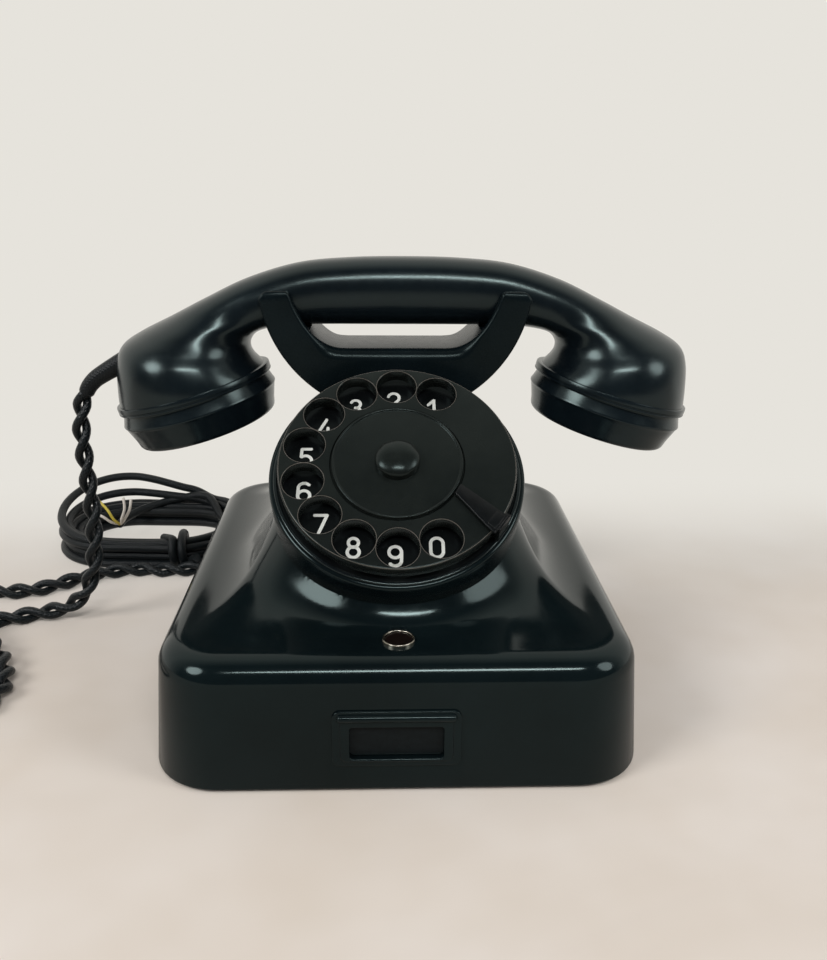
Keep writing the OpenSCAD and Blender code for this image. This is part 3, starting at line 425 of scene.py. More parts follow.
def tubeMesh(name, strands, radius, sides, material):
    # strands: (path, distances along it); one mesh with the map that the braid reads
    points, faces, maps = [], [], []
    circle = [(math.cos(w), math.sin(w)) for w in 2 * math.pi * np.arange(sides) / sides]
    for path, at in strands:
        n, b = carriedFrames(path)
        start, last = len(points), len(points) + (len(path) - 1) * sides
        radii = [radius(s) if callable(radius) else radius for s in at]
        points += [path[k] + (n[k] * c + b[k] * s) * radii[k] for k in range(len(path)) for c, s in circle]
        faces += ringFaces(len(path), sides, False, start)
        maps += [((i / sides, v0), ((i + 1) / sides, v0), ((i + 1) / sides, v1), (i / sides, v1))
                 for v0, v1 in zip(at[:-1], at[1:]) for i in range(sides)]
        faces += [tuple(start + i for i in reversed(range(sides))), tuple(last + i for i in range(sides))]
        maps += [tuple((i / sides, v) for i in range(sides)) for v in (at[0], at[-1])]
    obj = meshObject(name, points, faces, material, 60)
    layer = obj.data.uv_layers.new(name="cordMap")
    layer.data.foreach_set("uv", [c for face in maps for u, v in face for c in (u, v * mm)])
    return obj


handsetCord = {
    "diameter": 6.4, "strand": 3.5, "apart": 2.05, "pitch": 23, "phase": 0.6, "sides": 14,
    "closing": (15, 0.3, 5, 0.35),  # near each end the strands close up: over how far, to what share
    # in metres: below start the cord lies still, above end it goes with the handset
    "bends": {"start": (-0.130, 0.027, 0.035), "end": (-0.1208, 0.027, 0.1085)},
    "route": [
        (-120.8, 27, 111.6), (-123.6, 27, 109.8), (-126.6, 27, 105), (-129, 27, 97), (-130, 27, 86),
        (-129.8, 27, 70), (-129.3, 27, 54), (-130, 27, 39), (-132, 27, 26), (-137, 27.5, 14),
        (-146, 28.5, 6.5), (-158, 28, 3.8), (-172, 23, 3.4), (-190, 16, 3.4), (-210, 5, 3.4),
        (-222, -15, 3.4), (-220, -40, 3.4), (-204, -59, 3.4), (-180, -66, 3.4), (-159, -55, 3.4),
        (-151, -34, 3.4), (-159, -12, 4.2), (-174, 4, 7.5), (-190, 17, 10.2), (-204, 30, 7.4),
        (-207, 43, 4.2), (-196, 50, 3.4), (-184, 50, 3.4), (-172, 51, 3.4), (-162, 56, 3.4),
        (-152, 64, 3.4), (-140, 71, 3.4), (-126, 74, 3.4), (-111, 73, 3.4), (-98, 75, 3.4),
        (-88, 82, 3.4), (-77, 92, 3.4), (-66, 101, 3.4), (-56, 109, 3.8), (-46, 113.5, 6),
        (-38.5, 109, 9.5), (-36, 102, 12), (-36, 95, 12.4)]}
sleeve = {
    "radius": 4.3, "taper": 0.045, "tip": 2.4, "tipIn": 1.3, "sides": 28,
    "line": [(-105.5, 27, 119.8), (-110.9, 27, 116.8), (-114.6, 27, 114.7), (-118.2, 27, 112.6),
             (-121.8, 27, 110.2), (-124.7, 27, 107.1), (-126.6, 27, 103.4)]}
lineCord = {
    "diameter": 5.0, "drawn": 4.3, "sides": 12,
    "route": [(-8, 95, 12.4), (-8, 104, 11), (-12, 118, 7), (-24, 131, 3.4), (-42, 139, 2.6),
              (-58, 142, 3.2), (-74, 143, 5)],
    "tail": [(-104, 141, 17), (-122, 144, 14), (-138, 138, 11), (-146, 127, 9.5), (-147, 118, 9.5)],
    # the strand tied round the front of the coil: middle, reach across and up, turns, advance
    # per radian (4.6 mm a turn), and where its two ends go
    "tie": {"middle": (-111, 87.4, 8.4), "reach": (8.8, 7.9), "turns": 1.35, "from": 0.5,
            "advance": 4.6 / 6.28, "lowest": 2.8, "start": (-6, 7, -2), "end": (7, -12.5, 9)},
    # the bare wires: radius and sides, then each one's finish and its way from the cord's end
    "wire": (0.75, 8),
    "wires": {
        "wire_yellow": ("yellowWire", [(0, 0, 0), (-2, -3, 4), (-5, -2, 9), (-11, 2, 13.5)]),
        "wire_pale_1": ("paleWire", [(0.9, 0, 0.3), (2.4, -3.2, 4.5), (4.2, -2.4, 10), (3.2, 0.5, 15)]),
        "wire_pale_2": ("paleWire", [(0.3, 0.8, -0.4), (3, -1.5, 3), (6.2, -1, 8.5), (6.8, 2, 13.5)]),
        "wire_pale_3": ("paleWire", [(-0.8, 0.3, 0.2), (-3.4, -3.4, 2.6), (-7, -4, 5.8),
                                     (-12, -2.4, 7.4)])}}
coil = {
    "centre": (-127, 115), "degrees": -3, "half": 15, "mean": 28, "steps": 28, "wander": 0.9, "seed": 7,
    # end radius and height of each turn, from the table up, and where the last one leads
    "turns": [(32.6, 2.3), (28.2, 2.3), (23.8, 2.4), (26.0, 6.2), (30.4, 6.2), (32.4, 10.2),
              (28.0, 10.0), (24.2, 8.6), (29.0, 13.2), (31.0, 14.6)],
    "after": (20, 9),
    "flat": 3,  # how many turns lie on the table
    "change": 0.6,  # the share of a turn after which it goes over into the next one
    # the two loose turns on top: rise at the back, drop at the left end, extra radius; then where
    # in the turn each of the three is, and how wide
    "loose": [(5.0, 1.0, 0.5), (11.5, 3.0, 2.5)],
    "rise": (0.17, 0.16), "drop": (0.55, 0.14), "spread": (0.2, 0.2)}


def coilPoint(u, r, half, share):
    # a share u of the way round: a straight run, a half circle, and both again turned round
    if u >= 0.5:
        x, y = coilPoint(u - 0.5, r, half, share)
        return -x, -y
    if u < share:
        return half - 2 * half * u / share, r
    g = math.pi / 2 + math.pi * (u - share) / (0.5 - share)
    return -half + r * math.cos(g), r * math.sin(g)


def hump(u, middle, width):
    return math.exp(-((u - middle) / width) ** 2)


def coilPath(c):
    # Winds round a long ring, changing radius and height at its right end.
    rng = np.random.default_rng(c["seed"])
    turns, half = c["turns"] + [c["after"]], c["half"]
    wander = rng.uniform(-1, 1, (len(turns), 6))
    share = half * 2 / (half * 4 + 2 * math.pi * c["mean"])  # of the way round, one straight run
    a = math.radians(c["degrees"])
    turn = np.array([[math.cos(a), -math.sin(a)], [math.sin(a), math.cos(a)]])
    points = []
    for k in range(len(turns) - 1):
        loose = k - len(c["turns"]) + len(c["loose"])
        for i in range(c["steps"]):
            u = i / c["steps"]
            mix = max(0.0, (u - c["change"]) / (1 - c["change"]))
            mix = mix * mix * (3 - 2 * mix)
            r, z = (p + (q - p) * mix for p, q in zip(turns[k], turns[k + 1]))
            w = wander[k] * (1 - mix) + wander[k + 1] * mix
            r += c["wander"] * w[0] * math.sin(2 * math.pi * u + 3 * w[1])
            if k >= c["flat"]:
                z += c["wander"] * abs(w[2]) * math.sin(math.pi * u) ** 2
            if loose >= 0:
                rise, drop, spread = c["loose"][loose]
                z += rise * hump(u, *c["rise"]) - drop * hump(u, *c["drop"])
                r += spread * hump(u, *c["spread"])
            x, y = turn @ coilPoint(u, r, half, share) + c["centre"]
            points.append((x, y, z))
    return points


def tiePath(t):
    x, y, z = t["middle"]
    around = [2 * math.pi * t["turns"] * i / 40 + t["from"] for i in range(41)]
    knot = [(x + t["advance"] * a, y - t["reach"][0] * math.sin(a),
             max(t["lowest"], z + t["reach"][1] * math.cos(a))) for a in around]
    start, end = t["start"], t["end"]
    return ([(knot[0][0] + start[0], knot[0][1] + start[1], knot[0][2] + start[2])] + knot
            + [(knot[-1][0] + end[0], y + end[1], end[2])])


def declareCord(obj, c, path, at, **facts):
    tuple(np.array(c["route"][0]) * mm)
    print(obj.name, round(at[-1]), "mm")


def makeLineCord(c):
    line = smoothLine(c["route"] + coilPath(coil)[2:-2] + c["tail"], 6)
    path, at = evenly(line, 1.8)
    sheath, thick = finish["lineSheath"], c["drawn"] / 2
    obj = tubeMesh("line_cord_sheath", [(path, at)], thick, c["sides"], sheath)
    extras = []
    for name, (kind, offsets) in c["wires"].items():
        way = evenly(smoothLine(np.array(offsets) + path[-1], 8), 0.9)
        extras.append(tubeMesh(name, [way], *c["wire"], finish[kind]))
    tie = evenly(smoothLine(tiePath(c["tie"]), 4), 1.2)
    extras.append(tubeMesh("cord_tie", [tie], thick, c["sides"], sheath))
    for piece in extras:
        finished(piece, "base", "textile")
    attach(obj, "base")
    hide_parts("line_cord", "line_coil")
    declareCord(obj, c, path, at, far_end="bare", stiffness="medium", lay="coiled", with_pieces=extras)


def makeHandsetCord(c):
    path, at = evenly(smoothLine(c["route"], 10), 1.5)
    normal, side = carriedFrames(path)
    over, share, endOver, endShare = c["closing"]
    apart = c["apart"] * np.clip(at / over, share, 1) * np.clip((at[-1] - at) / endOver, endShare, 1)
    strands = []
    for k in (0, 1):
        phase = 2 * math.pi * at / c["pitch"] + k * math.pi + c["phase"]
        out = normal * np.cos(phase)[:, None] + side * np.sin(phase)[:, None]
        strand = path + out * apart[:, None]
        strand[:, 2] = np.maximum(strand[:, 2], c["strand"] / 2)  # pressed flat on the table
        strands.append((strand, at))
    obj = tubeMesh("handset_cord_pair", strands, c["strand"] / 2, c["sides"], finish["cordBraid"])
    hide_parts("handset_cord")
    declareCord(obj, c, path, at, far_end="object", stiffness="limp", lay="loose")
    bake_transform(obj)


def makeSleeve(s):
    path, at = evenly(smoothLine(s["line"], 8), 0.8)

    def radius(d):
        return s["radius"] - s["taper"] * d - s["tipIn"] * max(0.0, (d - at[-1] + s["tip"]) / s["tip"]) ** 3

    obj = tubeMesh("handset_sleeve", [(path, at)], radius, s["sides"], finish["lineSheath"])
    finished(obj, "handset", "rubber", "cord_sleeve")


makeLineCord(lineCord)
makeHandsetCord(handsetCord)
makeSleeve(sleeve)

# Lengths in millimetres: how broad the cloth's clouds of tone and its folds are, and how deep the
# folds. The floor takes the wall's colour from fade[0] to fade[1] behind the phone, and where it
# is looked at directly, from fadeRound[0] to fadeRound[1] all round. inGloss is the share of the
# cloth's tone that reflections show: painted shade.
stage = {"cloth": ("#dfd3c6", "#eae1d8"), "clouds": 90, "folds": 140, "foldDeep": 6, "inGloss": 0.6,
         "wall": "#e6e3dc", "fade": (0, 219), "fadeRound": (600, 1100), "reach": 4000,
         "room": "#35383c", "fromAllSides": 0.34}


def anyRay(tree, rays, *kinds):
    # 1 for a ray of one of these kinds
    seen = (rays, kinds[0])
    for kind in kinds[1:]:
        seen = (addNode(tree, "Math", {"operation": "MAXIMUM"}, {0: seen, 1: (rays, kind)}), 0)
    return seen


def makeStage(s):
    # A table covered with pale cotton cloth: matt, in low broad folds.
    mat, tree, shader, where = newMaterial("coveredTable")
    clouds = addNode(tree, "TexNoise", {}, grain(where, s["clouds"], 3.0, 0.55))
    tone = addNode(tree, "ValToRGB", {}, {"Fac": (clouds, 0)},
                   [(0.3, s["cloth"][0]), (0.7, s["cloth"][1])])
    rays = addNode(tree, "LightPath")
    # painted shade: the cloth's tone is darker in reflections only, so the black mouldings show the near
    # table darker than it is
    paintedReflectionShade = addNode(tree, "MapRange", {}, {0: (rays, "Is Glossy Ray"), 3: 1.0, 4: s["inGloss"]})
    toneWithPaintedShade = addNode(tree, "Mix", {"data_type": "RGBA", "blend_type": "MULTIPLY"},
                     {0: 1.0, 6: (tone, 0), 7: (paintedReflectionShade, 0)})
    folds = addNode(tree, "TexNoise", {}, {**grain(where, s["folds"], 4.0), "Distortion": 0.6})
    relief = addNode(tree, "Bump", {},
                     {"Height": (folds, 0), "Strength": 0.35, "Distance": s["foldDeep"] * mm})
    setInputs(tree, shader, {"Base Color": (toneWithPaintedShade, 2), "Normal": (relief, 0), "Roughness": 0.95,
                             "Specular IOR Level": 0.1})
    behind = (addNode(tree, "SeparateXYZ", {}, {0: where}), 1)
    away = (addNode(tree, "VectorMath", {"operation": "LENGTH"}, {0: where}), 1)
    fades = []
    for distance, (near, far), seen in (
            (behind, s["fade"], anyRay(tree, rays, "Is Camera Ray", "Is Glossy Ray")),
            (away, s["fadeRound"], (rays, "Is Camera Ray"))):
        rise = addNode(tree, "MapRange", {"interpolation_type": "SMOOTHSTEP"},
                       {0: distance, 1: near * mm, 2: far * mm})
        fades.append(addNode(tree, "Math", {"operation": "MULTIPLY"}, {0: (rise, 0), 1: seen}))
    both = addNode(tree, "Math", {"operation": "MAXIMUM"}, {0: (fades[0], 0), 1: (fades[1], 0)})
    wall = addNode(tree, "Emission", {}, {"Color": hexColour(s["wall"]), "Strength": 1.0})
    mix = addNode(tree, "MixShader", {}, {0: (both, 0), 1: (shader, 0), 2: (wall, 0)})
    setInputs(tree, tree.get_output_node("ALL"), {"Surface": (mix, 0)})
    r = s["reach"]
    floor = meshObject("table_top", [(-r, -r, 0), (r, -r, 0), (r, r, 0), (-r, r, 0)], [(0, 1, 2, 3)], mat)


def makeWorld(s):
    world = bpy.data.worlds.new("room")
    bpy.context.scene.world = world
    world.use_nodes = True
    tree = world.node_tree
    tree.nodes.clear()
    rays = addNode(tree, "LightPath")
    plain, wall, room = [addNode(tree, "Background", {}, {"Color": colour, "Strength": strength})
                         for colour, strength in (((1, 1, 1, 1), s["fromAllSides"]),
                                                  (hexColour(s["wall"]), 1.0), (hexColour(s["room"]), 1.0))]
    # The room behind and above the viewer is darker than the wall: gloss shows that.
    where = addNode(tree, "TexCoord")
    parts = addNode(tree, "SeparateXYZ", {}, {0: (where, "Generated")})
    ahead = addNode(tree, "MapRange", {}, {0: (parts, 1), 1: -0.25, 2: 0.25})
    shown = anyRay(tree, rays, "Is Camera Ray", "Is Glossy Ray", "Is Transmission Ray")
    inGloss = addNode(tree, "MixShader", {}, {0: (ahead, 0), 1: (room, 0), 2: (wall, 0)})
    seen = addNode(tree, "MixShader", {},
                   {0: (rays, "Is Camera Ray"), 1: (inGloss, 0), 2: (wall, 0)})
    mix = addNode(tree, "MixShader", {}, {0: shown, 1: (plain, 0), 2: (seen, 0)})
    addNode(tree, "OutputWorld", {}, {"Surface": (mix, 0)})


lamps = [  # name, place in millimetres, size, power in watts; all look at the phone's middle
    ("window", (-1400, -900, 1200), (800, 900), 16),
    ("overhead", (200, -1500, 1700), (1300, 190), 17),
    ("fill", (1500, -700, 1000), (700, 1000), 8.5),
]
lampTarget = (0, 0, 60)


def makeLamps(rows):
    for name, place, size, power in rows:
        data = bpy.data.lights.new(name, "AREA")
        data.shape = "ELLIPSE"
        data.size, data.size_y = size[0] * mm, size[1] * mm
        data.energy = power
        obj = addObject(name, data)
        obj.location = Vector(place) * mm
        obj.rotation_euler = (Vector(lampTarget) - Vector(place)).to_track_quat("-Z", "Y").to_euler()


makeStage(stage)
makeWorld(stage)
makeLamps(lamps)
print("stage set")

# The dial's seat: its middle and tilt, the collar round it, the seat and the well as wall left by
# the collar, low and high, and the flare that carries it, its width in front and at the side
# and its rise.
dialSeat = {"y": -34.8, "z": 90.5, "tilt": 51.8, "collar": 45.3, "rimRound": 1.4, "depth": 34,
            "seat": (1.54, -14, 6), "well": (4, -74, 20), "front": 13.5, "side": 22, "rise": 9,
            "riseFront": 15, "fall": 2.6, "fade": 30}
# The housing: width, length and corner of the skirt, its gap to the table, height, draft and
# rounded edge, then the neck. Rods are radius, low and high; fineness is levels, points along a
# side and points round a corner.
shell = {"width": 165, "length": 184, "corner": 23, "gap": 1.5, "skirt": 35.5, "draft": 2.3,
         "roll": 9, "wall": 3, "neckZ": 106, "neckWidth": 50, "neckFront": 7, "neckBack": 50,
         "neckCorner": 16, "sweep": 2.3, "fine": (64, 44, 12), "insideFine": (14, 8, 6),
         "foot": [(0.7, 0), (0.15, 0.25), (0, 0.8)], "insideFoot": [(0, -1)],
         "boss": (5, 4.5, 44.4), "screwBore": (1.85, 0, 20), "bossAt": (56, 64),
         "neckBoss": (12, 92, 104.6), "neckBore": (9, 76, 136), "neckY": 27,
         "buttonY": -73.97, "buttonSeat": 45.4,
         "buttonBore": [(0, -12), (4.96, -12), (4.96, 0), (5.36, 0), (5.36, 8), (0, 8)],
         "glandsX": (-36, -8), "glandZ": 12, "glandBore": (5, -10, 10),
         "labelX": -0.75, "labelZ": 20.25, "recess": (41.62, 19.62, 2.56), "recessHigh": (-1.2, 8.8)}
atDial = placed(0, dialSeat["y"], dialSeat["z"], 90 - dialSeat["tilt"])
atButton = placed(0, shell["buttonY"], shell["buttonSeat"])
onSkirt = placed(shell["labelX"],
                 shell["draft"] * (shell["labelZ"] - shell["gap"]) / shell["skirt"] - shell["length"] / 2,
                 shell["labelZ"], 90 - math.degrees(math.atan(shell["draft"] / shell["skirt"])))


def roundedRing(halfX, y0, y1, r, z, sidePoints, turnPoints):
    arcs = cornerArcs(halfX, y0, y1, r, turnPoints)
    ring = []
    for k in range(4):
        ring += arcs[k]
        a, b = np.array(arcs[k][-1]), np.array(arcs[(k + 1) % 4][0])
        ring += [tuple(a + (b - a) * i / sidePoints) for i in range(1, sidePoints)]
    return np.array([(x, y, z) for x, y in ring])


def flareLift(points, d):
    tilt = math.radians(d["tilt"])
    x, y, z = points.T
    up = (y - d["y"]) * math.sin(tilt) + (z - d["z"]) * math.cos(tilt)
    away = np.hypot(x, up)
    width = d["front"] + (d["side"] - d["front"]) * (x / away) ** 2
    near = np.clip(1 - np.clip(away - d["collar"], 0, None) / width, 0, None)
    fade = np.clip(1 - up / d["fade"], 0, 1)
    rise = d["rise"] + (d["riseFront"] - d["rise"]) * np.clip(-up / away, 0, 1) ** 2
    return rise * near ** d["fall"] * fade


def housingRings(s, inset, fine, foot):
    w, l, c, roll, draft = s["width"] / 2, s["length"] / 2, s["corner"], s["roll"], s["draft"]
    top, edge, (levels, *points) = s["gap"] + s["skirt"], draft + roll, fine
    rings = [roundedRing(w - inset - e, -l + inset + e, l - inset - e, c - inset - e, s["gap"] + z, *points)
             for e, z in foot]
    for k in range(11):
        a = math.radians(9 * k)
        i = draft + roll * (1 - math.cos(a)) + inset
        r = max(c - roll * (1 - math.cos(a)) - inset, 2)
        rings.append(roundedRing(w - i, -l + i, l - i, r, top + roll * math.sin(a) - inset, *points))
    for k in range(1, levels + 1):
        t = k / levels
        ring = roundedRing((w - edge) * (1 - t) + s["neckWidth"] / 2 * t - inset,
                           (-l + edge) * (1 - t) + s["neckFront"] * t + inset,
                           (l - edge) * (1 - t) + s["neckBack"] * t - inset,
                           max((c - roll) * (1 - t) + s["neckCorner"] * t - inset, 2),
                           top + roll + (s["neckZ"] - top - roll) * t ** s["sweep"] - inset, *points)
        if not inset:
            ring[:, 2] += flareLift(ring, dialSeat)
        rings.append(ring)
    return rings


def makeHousing(s, d):
    mat = finish["shell"]
    outer = loft("housing_shell", housingRings(s, 0, s["fine"], s["foot"]), mat)
    rim = arcPoints(d["collar"] - d["rimRound"], -d["rimRound"], d["rimRound"], 0, 90, 8)
    cut(outer, lathe("collar", [(0, -d["depth"]), (d["collar"], -d["depth"])] + rim + [(0, 0)], mat, 256,
                     atDial), "UNION")
    inner = loft("hollow", housingRings(s, s["wall"], s["insideFine"], s["insideFoot"]), mat)
    well, seat = ((d["collar"] - wall, low, high) for wall, low, high in (d["well"], d["seat"]))
    cut(outer, inner)
    cut(outer, rod(*well, mat, 160, atDial))
    corners = [placed(s["bossAt"][0] * a, s["bossAt"][1] * b, 0) for a in (-1, 1) for b in (-1, 1)]
    neck = placed(0, s["neckY"], 0)
    bosses = [rod(*s["boss"], mat, 40, place) for place in corners] + [rod(*s["neckBoss"], mat, 48, neck)]
    cut(outer, joined(bosses, "bosses"), "UNION")
    cutters = [rod(*s["screwBore"], mat, 32, place) for place in corners]
    cutters += [rod(*s["neckBore"], mat, 64, neck), lathe("bore", s["buttonBore"], mat, 64, atButton)]
    cutters += [rod(*s["glandBore"], mat, 40, placed(x, s["length"] / 2, s["glandZ"], 90))
                for x in s["glandsX"]]
    cutters.append(prism("recess", softRect(*s["recess"]), *s["recessHigh"], mat, onSkirt))
    cutters.append(rod(*seat, mat, 256, atDial))
    cut(outer, joined(cutters, "cutters"))
    cleanNormals(outer, 0.002)
    shadeMesh(outer.data, 22)
    finished(outer, "base", "bakelite", "housing")
    print("housing", len(outer.data.polygons), "faces")


makeHousing(shell, dialSeat)


def treeSocket(tree, name, kind, value=None, way="INPUT"):
    socket = tree.interface.new_socket(name=name, in_out=way, socket_type=kind)
    if value is not None:
        socket.default_value = value


def punchTree():
    # Takes tapered rods out of the piece: they stand on a circle, one after each step angle.
    tree = bpy.data.node_groups.new("punchRing", "GeometryNodeTree")
    treeSocket(tree, "Geometry", "NodeSocketGeometry")
    for label, value in (("Count", 10), ("Sides", 64)):
        treeSocket(tree, label, "NodeSocketInt", value)
    for label in ("Rod Radius", "Top Radius", "Rod Length", "Ring Radius", "Height", "Step", "Start"):
        treeSocket(tree, label, "NodeSocketFloat", 0.0)
    treeSocket(tree, "Material", "NodeSocketMaterial")
    treeSocket(tree, "Geometry", "NodeSocketGeometry", None, "OUTPUT")
    src = addNode(tree, "NodeGroupInput")
    index = addNode(tree, "GeometryNodeInputIndex")
    turned = addNode(tree, "Math", {"operation": "MULTIPLY_ADD"},
                     {0: (index, 0), 1: (src, "Step"), 2: (src, "Start")})
    flat = []
    for kind in ("COSINE", "SINE"):
        share = addNode(tree, "Math", {"operation": kind}, {0: (turned, 0)})
        flat.append(addNode(tree, "Math", {"operation": "MULTIPLY"},
                            {0: (share, 0), 1: (src, "Ring Radius")}))
    place = addNode(tree, "CombineXYZ", {},
                    {0: (flat[0], 0), 1: (flat[1], 0), 2: (src, "Height")})
    points = addNode(tree, "GeometryNodePoints", {}, {"Count": (src, "Count"), "Position": (place, 0)})
    cone = addNode(tree, "GeometryNodeMeshCone", {}, {
        "Vertices": (src, "Sides"), "Radius Bottom": (src, "Rod Radius"),
        "Radius Top": (src, "Top Radius"), "Depth": (src, "Rod Length")})
    rods = addNode(tree, "GeometryNodeInstanceOnPoints", {}, {"Points": (points, 0), "Instance": (cone, 0)})
    real = addNode(tree, "GeometryNodeRealizeInstances", {}, {"Geometry": (rods, 0)})
    left = addNode(tree, "GeometryNodeMeshBoolean", {"operation": "DIFFERENCE", "solver": "EXACT"},
                   {"Mesh 1": (src, "Geometry"), "Mesh 2": (real, 0)})
    whole = addNode(tree, "GeometryNodeRealizeInstances", {}, {"Geometry": (left, 0)})
    done = addNode(tree, "GeometryNodeSetMaterial", {},
                   {"Geometry": (whole, 0), "Material": (src, "Material")})
    addNode(tree, "NodeGroupOutput", {}, {0: (done, 0)})
    return tree


punch = punchTree()


def punchHoles(obj, material, values):
    # values: lengths in millimetres, angles in degrees
    mod = obj.modifiers.new("punch", "NODES")
    mod.node_group = punch
    names = {s.name: s.identifier for s in punch.interface.items_tree if s.in_out == "INPUT"}
    for label, value in {"Top Radius": values["Rod Radius"], **values}.items():
        if label in ("Step", "Start"):
            value = math.radians(value)
        elif label not in ("Count", "Sides"):
            value = value * mm
        mod[names[label]] = value
    mod[names["Material"]] = material
    bakeModifiers(obj)


# The finger wheel. The edge is out from the rim and up from the back, the groove radius and
# depth. Each hole has a chamfer that starts at its own radius, lip deep. A hair of a bead runs at
# each mouth and in and down from the rim, coloured pale as a painted highlight of light on edges.
wheel = {"radius": 41.6, "back": 2.3, "face": 7.3, "round": 0.9, "hub": 8, "hubLow": -7.7,
         "bore": 3.02, "edge": [(-0.6, 0), (-0.15, 0.2), (0, 0.6)],
         "groove": [(23.6, 0), (23.45, -0.12), (23.25, -0.6), (23.05, -0.6), (22.9, 0)],
         "lip": 0.42, "sunk": 0.05, "chamfer": 7.1, "hair": 0.1, "mouth": 7.4, "rimLine": (0.42, 0.2),
         "holes": {"Count": 10, "Sides": 72, "Rod Radius": 7.15, "Rod Length": 15,
                   "Ring Radius": 33.3, "Height": -2, "Step": 25.7, "Start": 64.3}}


def makeWheel(w):
    face, back, r, h, mat = w["face"], w["back"], w["radius"], w["holes"], finish["dialFace"]
    rim = arcPoints(r - w["round"], face - w["round"], w["round"], 0, 90, 6)
    profile = [(w["bore"], w["hubLow"]), (w["hub"], w["hubLow"]), (w["hub"], back)]
    profile += [(r + x, back + z) for x, z in w["edge"]] + rim
    profile += [(x, face + z) for x, z in w["groove"]] + [(w["bore"], face)]
    obj = lathe("wheel_plate", profile, mat, 240)
    punchHoles(obj, mat, h)
    low, deep = face - w["lip"] - w["sunk"], w["lip"] + 1
    for k in (0, 1):  # neighbouring chamfers run into each other, so every other hole at a time
        punchHoles(obj, mat, {
            **h, "Sides": 65, "Count": h["Count"] // 2, "Step": 2 * h["Step"],
            "Start": h["Start"] + h["Step"] * k, "Height": low, "Rod Radius": w["chamfer"],
            "Rod Length": deep, "Top Radius": w["chamfer"] + deep})
    shadeMesh(obj.data, 28)
    finished(obj, "dial", "bakelite", "finger_wheel", place=atDial)
    print("wheel", len(obj.data.polygons), "faces")
    rows = [(r - w["rimLine"][0], face - w["rimLine"][1], 240, None)]
    for k in range(h["Count"]):
        a = math.radians(h["Start"] + h["Step"] * k)
        place = placed(h["Ring Radius"] * math.cos(a), h["Ring Radius"] * math.sin(a), 0)
        rows.append((w["mouth"], low + w["mouth"] - w["chamfer"], 72, place))
    # painted highlight: pale hair-thin beads round each mouth and along the rim
    lines = [lathe("line", arcPoints(x, z, w["hair"], 0, 330, 11), finish["paintedEdgeHighlight"], segments, place, 60)
             for x, z, segments, place in rows]
    edgeHighlights = joined(lines, "wheel_painted_edge_highlights")
    shadeMesh(edgeHighlights.data, 60)
    finished(edgeHighlights, "dial", "bakelite", place=atDial)


# Turned pieces: finish, segments, body, slot, the node it stands for, and the profile as radius
# and height over the dial's or the button's seat.
turned = {
    "wheel_centre": ("dialFace", 160, "dial", "bakelite", "wheel_disc", [
        (0, 7.25), (22.5, 7.25), (22.8, 7.45), *arcPoints(22.35, 7.95, 0.45, 0, 180, 8),
        (21.7, 7.85), (21.2, 7.9), (0, 7.9)]),
    "dial_bezel": ("bezel", 240, "base", "bakelite", "dial_case", [
        (31.7, -14), (43.5, -14), (43.7, -13.8), (43.7, -0.1), *arcPoints(43.2, 0.0, 0.5, 0, 90, 5),
        (42.75, 0.5), *arcPoints(42.6, 0.2, 0.3, 90, 90, 3), (42.3, -1), (40.7, -1), (40.7, -12.4),
        (31.7, -12.4)]),
    "figure_plate": ("plate", 200, "base", "bakelite", "number_plate", [
        (12, -1), (42.24, -1), (42.24, 0.1), (42.14, 0.2), (12.2, 0.2), (12, 0)]),
    "button_collar": ("nickel", 96, "base", "steel", "button_ring", [
        (4.7, -9), (4.9, -9), (4.9, 0), (5.4, 0), (5.4, 1.3), *arcPoints(5.06, 1.36, 0.34, 0, 170, 8),
        (4.7, 1.2)]),
    "button_cap": ("button", 72, "push_button", "button_red", "push_button", [
        (0, -14.3), (1.6, -14.3), (1.6, -9.4), (4.6, -9.4), (4.6, 0.6),
        *arcPoints(3.9, 0.6, 0.7, 0, 80, 6), (3.2, 1.26), (1.8, 1.14), (0, 1.1)]),
}


def makeTurned(name, place):
    kind, segments, body, slot, node, profile = turned[name]
    finished(lathe(name, profile, finish[kind], segments, place, 30), body, slot, node)


# The boss in the middle of the wheel: its foot, then the dome's radius, foot and height. Uneven
# is size, times round and turn of each wave in its edge; lean and ripple are the crown's.
knob = {"foot": 7.75, "low": 7.85, "radius": 7.7, "spring": 9.9, "crown": 2.6, "segments": 96,
        "rows": 14, "uneven": [(0.014, 2, 0.6), (0.01, 5, 2.1), (0.006, 9, 0)], "lean": 0.05,
        "ripple": 0.03}


def makeKnob(b):
    # a pressed boss: a broad dome with slightly uneven edge and crown
    n, rows = b["segments"], b["rows"]
    angles = [2 * math.pi * i / n for i in range(n)]
    points = [(b["foot"] * math.cos(a), b["foot"] * math.sin(a), b["low"]) for a in angles]
    for k in range(rows):
        g = math.radians(90 * k / rows)
        for a in angles:
            uneven = 1 + sum(high * math.sin(times * a + turn) for high, times, turn in b["uneven"])
            crown = 1 + b["lean"] * math.sin(a - 0.9) * math.cos(g)
            crown += b["ripple"] * math.sin(3 * a) * math.sin(2 * g)
            r = b["radius"] * math.cos(g) ** 0.8 * uneven
            z = b["spring"] + b["crown"] * math.sin(g) ** 1.15 * crown
            points.append((r * math.cos(a), r * math.sin(a), z))
    faces = ringFaces(rows + 1, n)
    faces += [(rows * n + i, rows * n + (i + 1) % n, len(points)) for i in range(n)]
    points.append((0, 0, b["spring"] + b["crown"]))
    faces.append(tuple(reversed(range(n))))
    obj = meshObject("wheel_boss", points, faces, finish["dialFace"], 50, atDial)
    cleanNormals(obj)
    finished(obj, "dial", "bakelite", "wheel_knob")


makeWheel(wheel)
makeTurned("wheel_centre", atDial)
makeKnob(knob)
makeTurned("dial_bezel", atDial)
makeTurned("figure_plate", atDial)

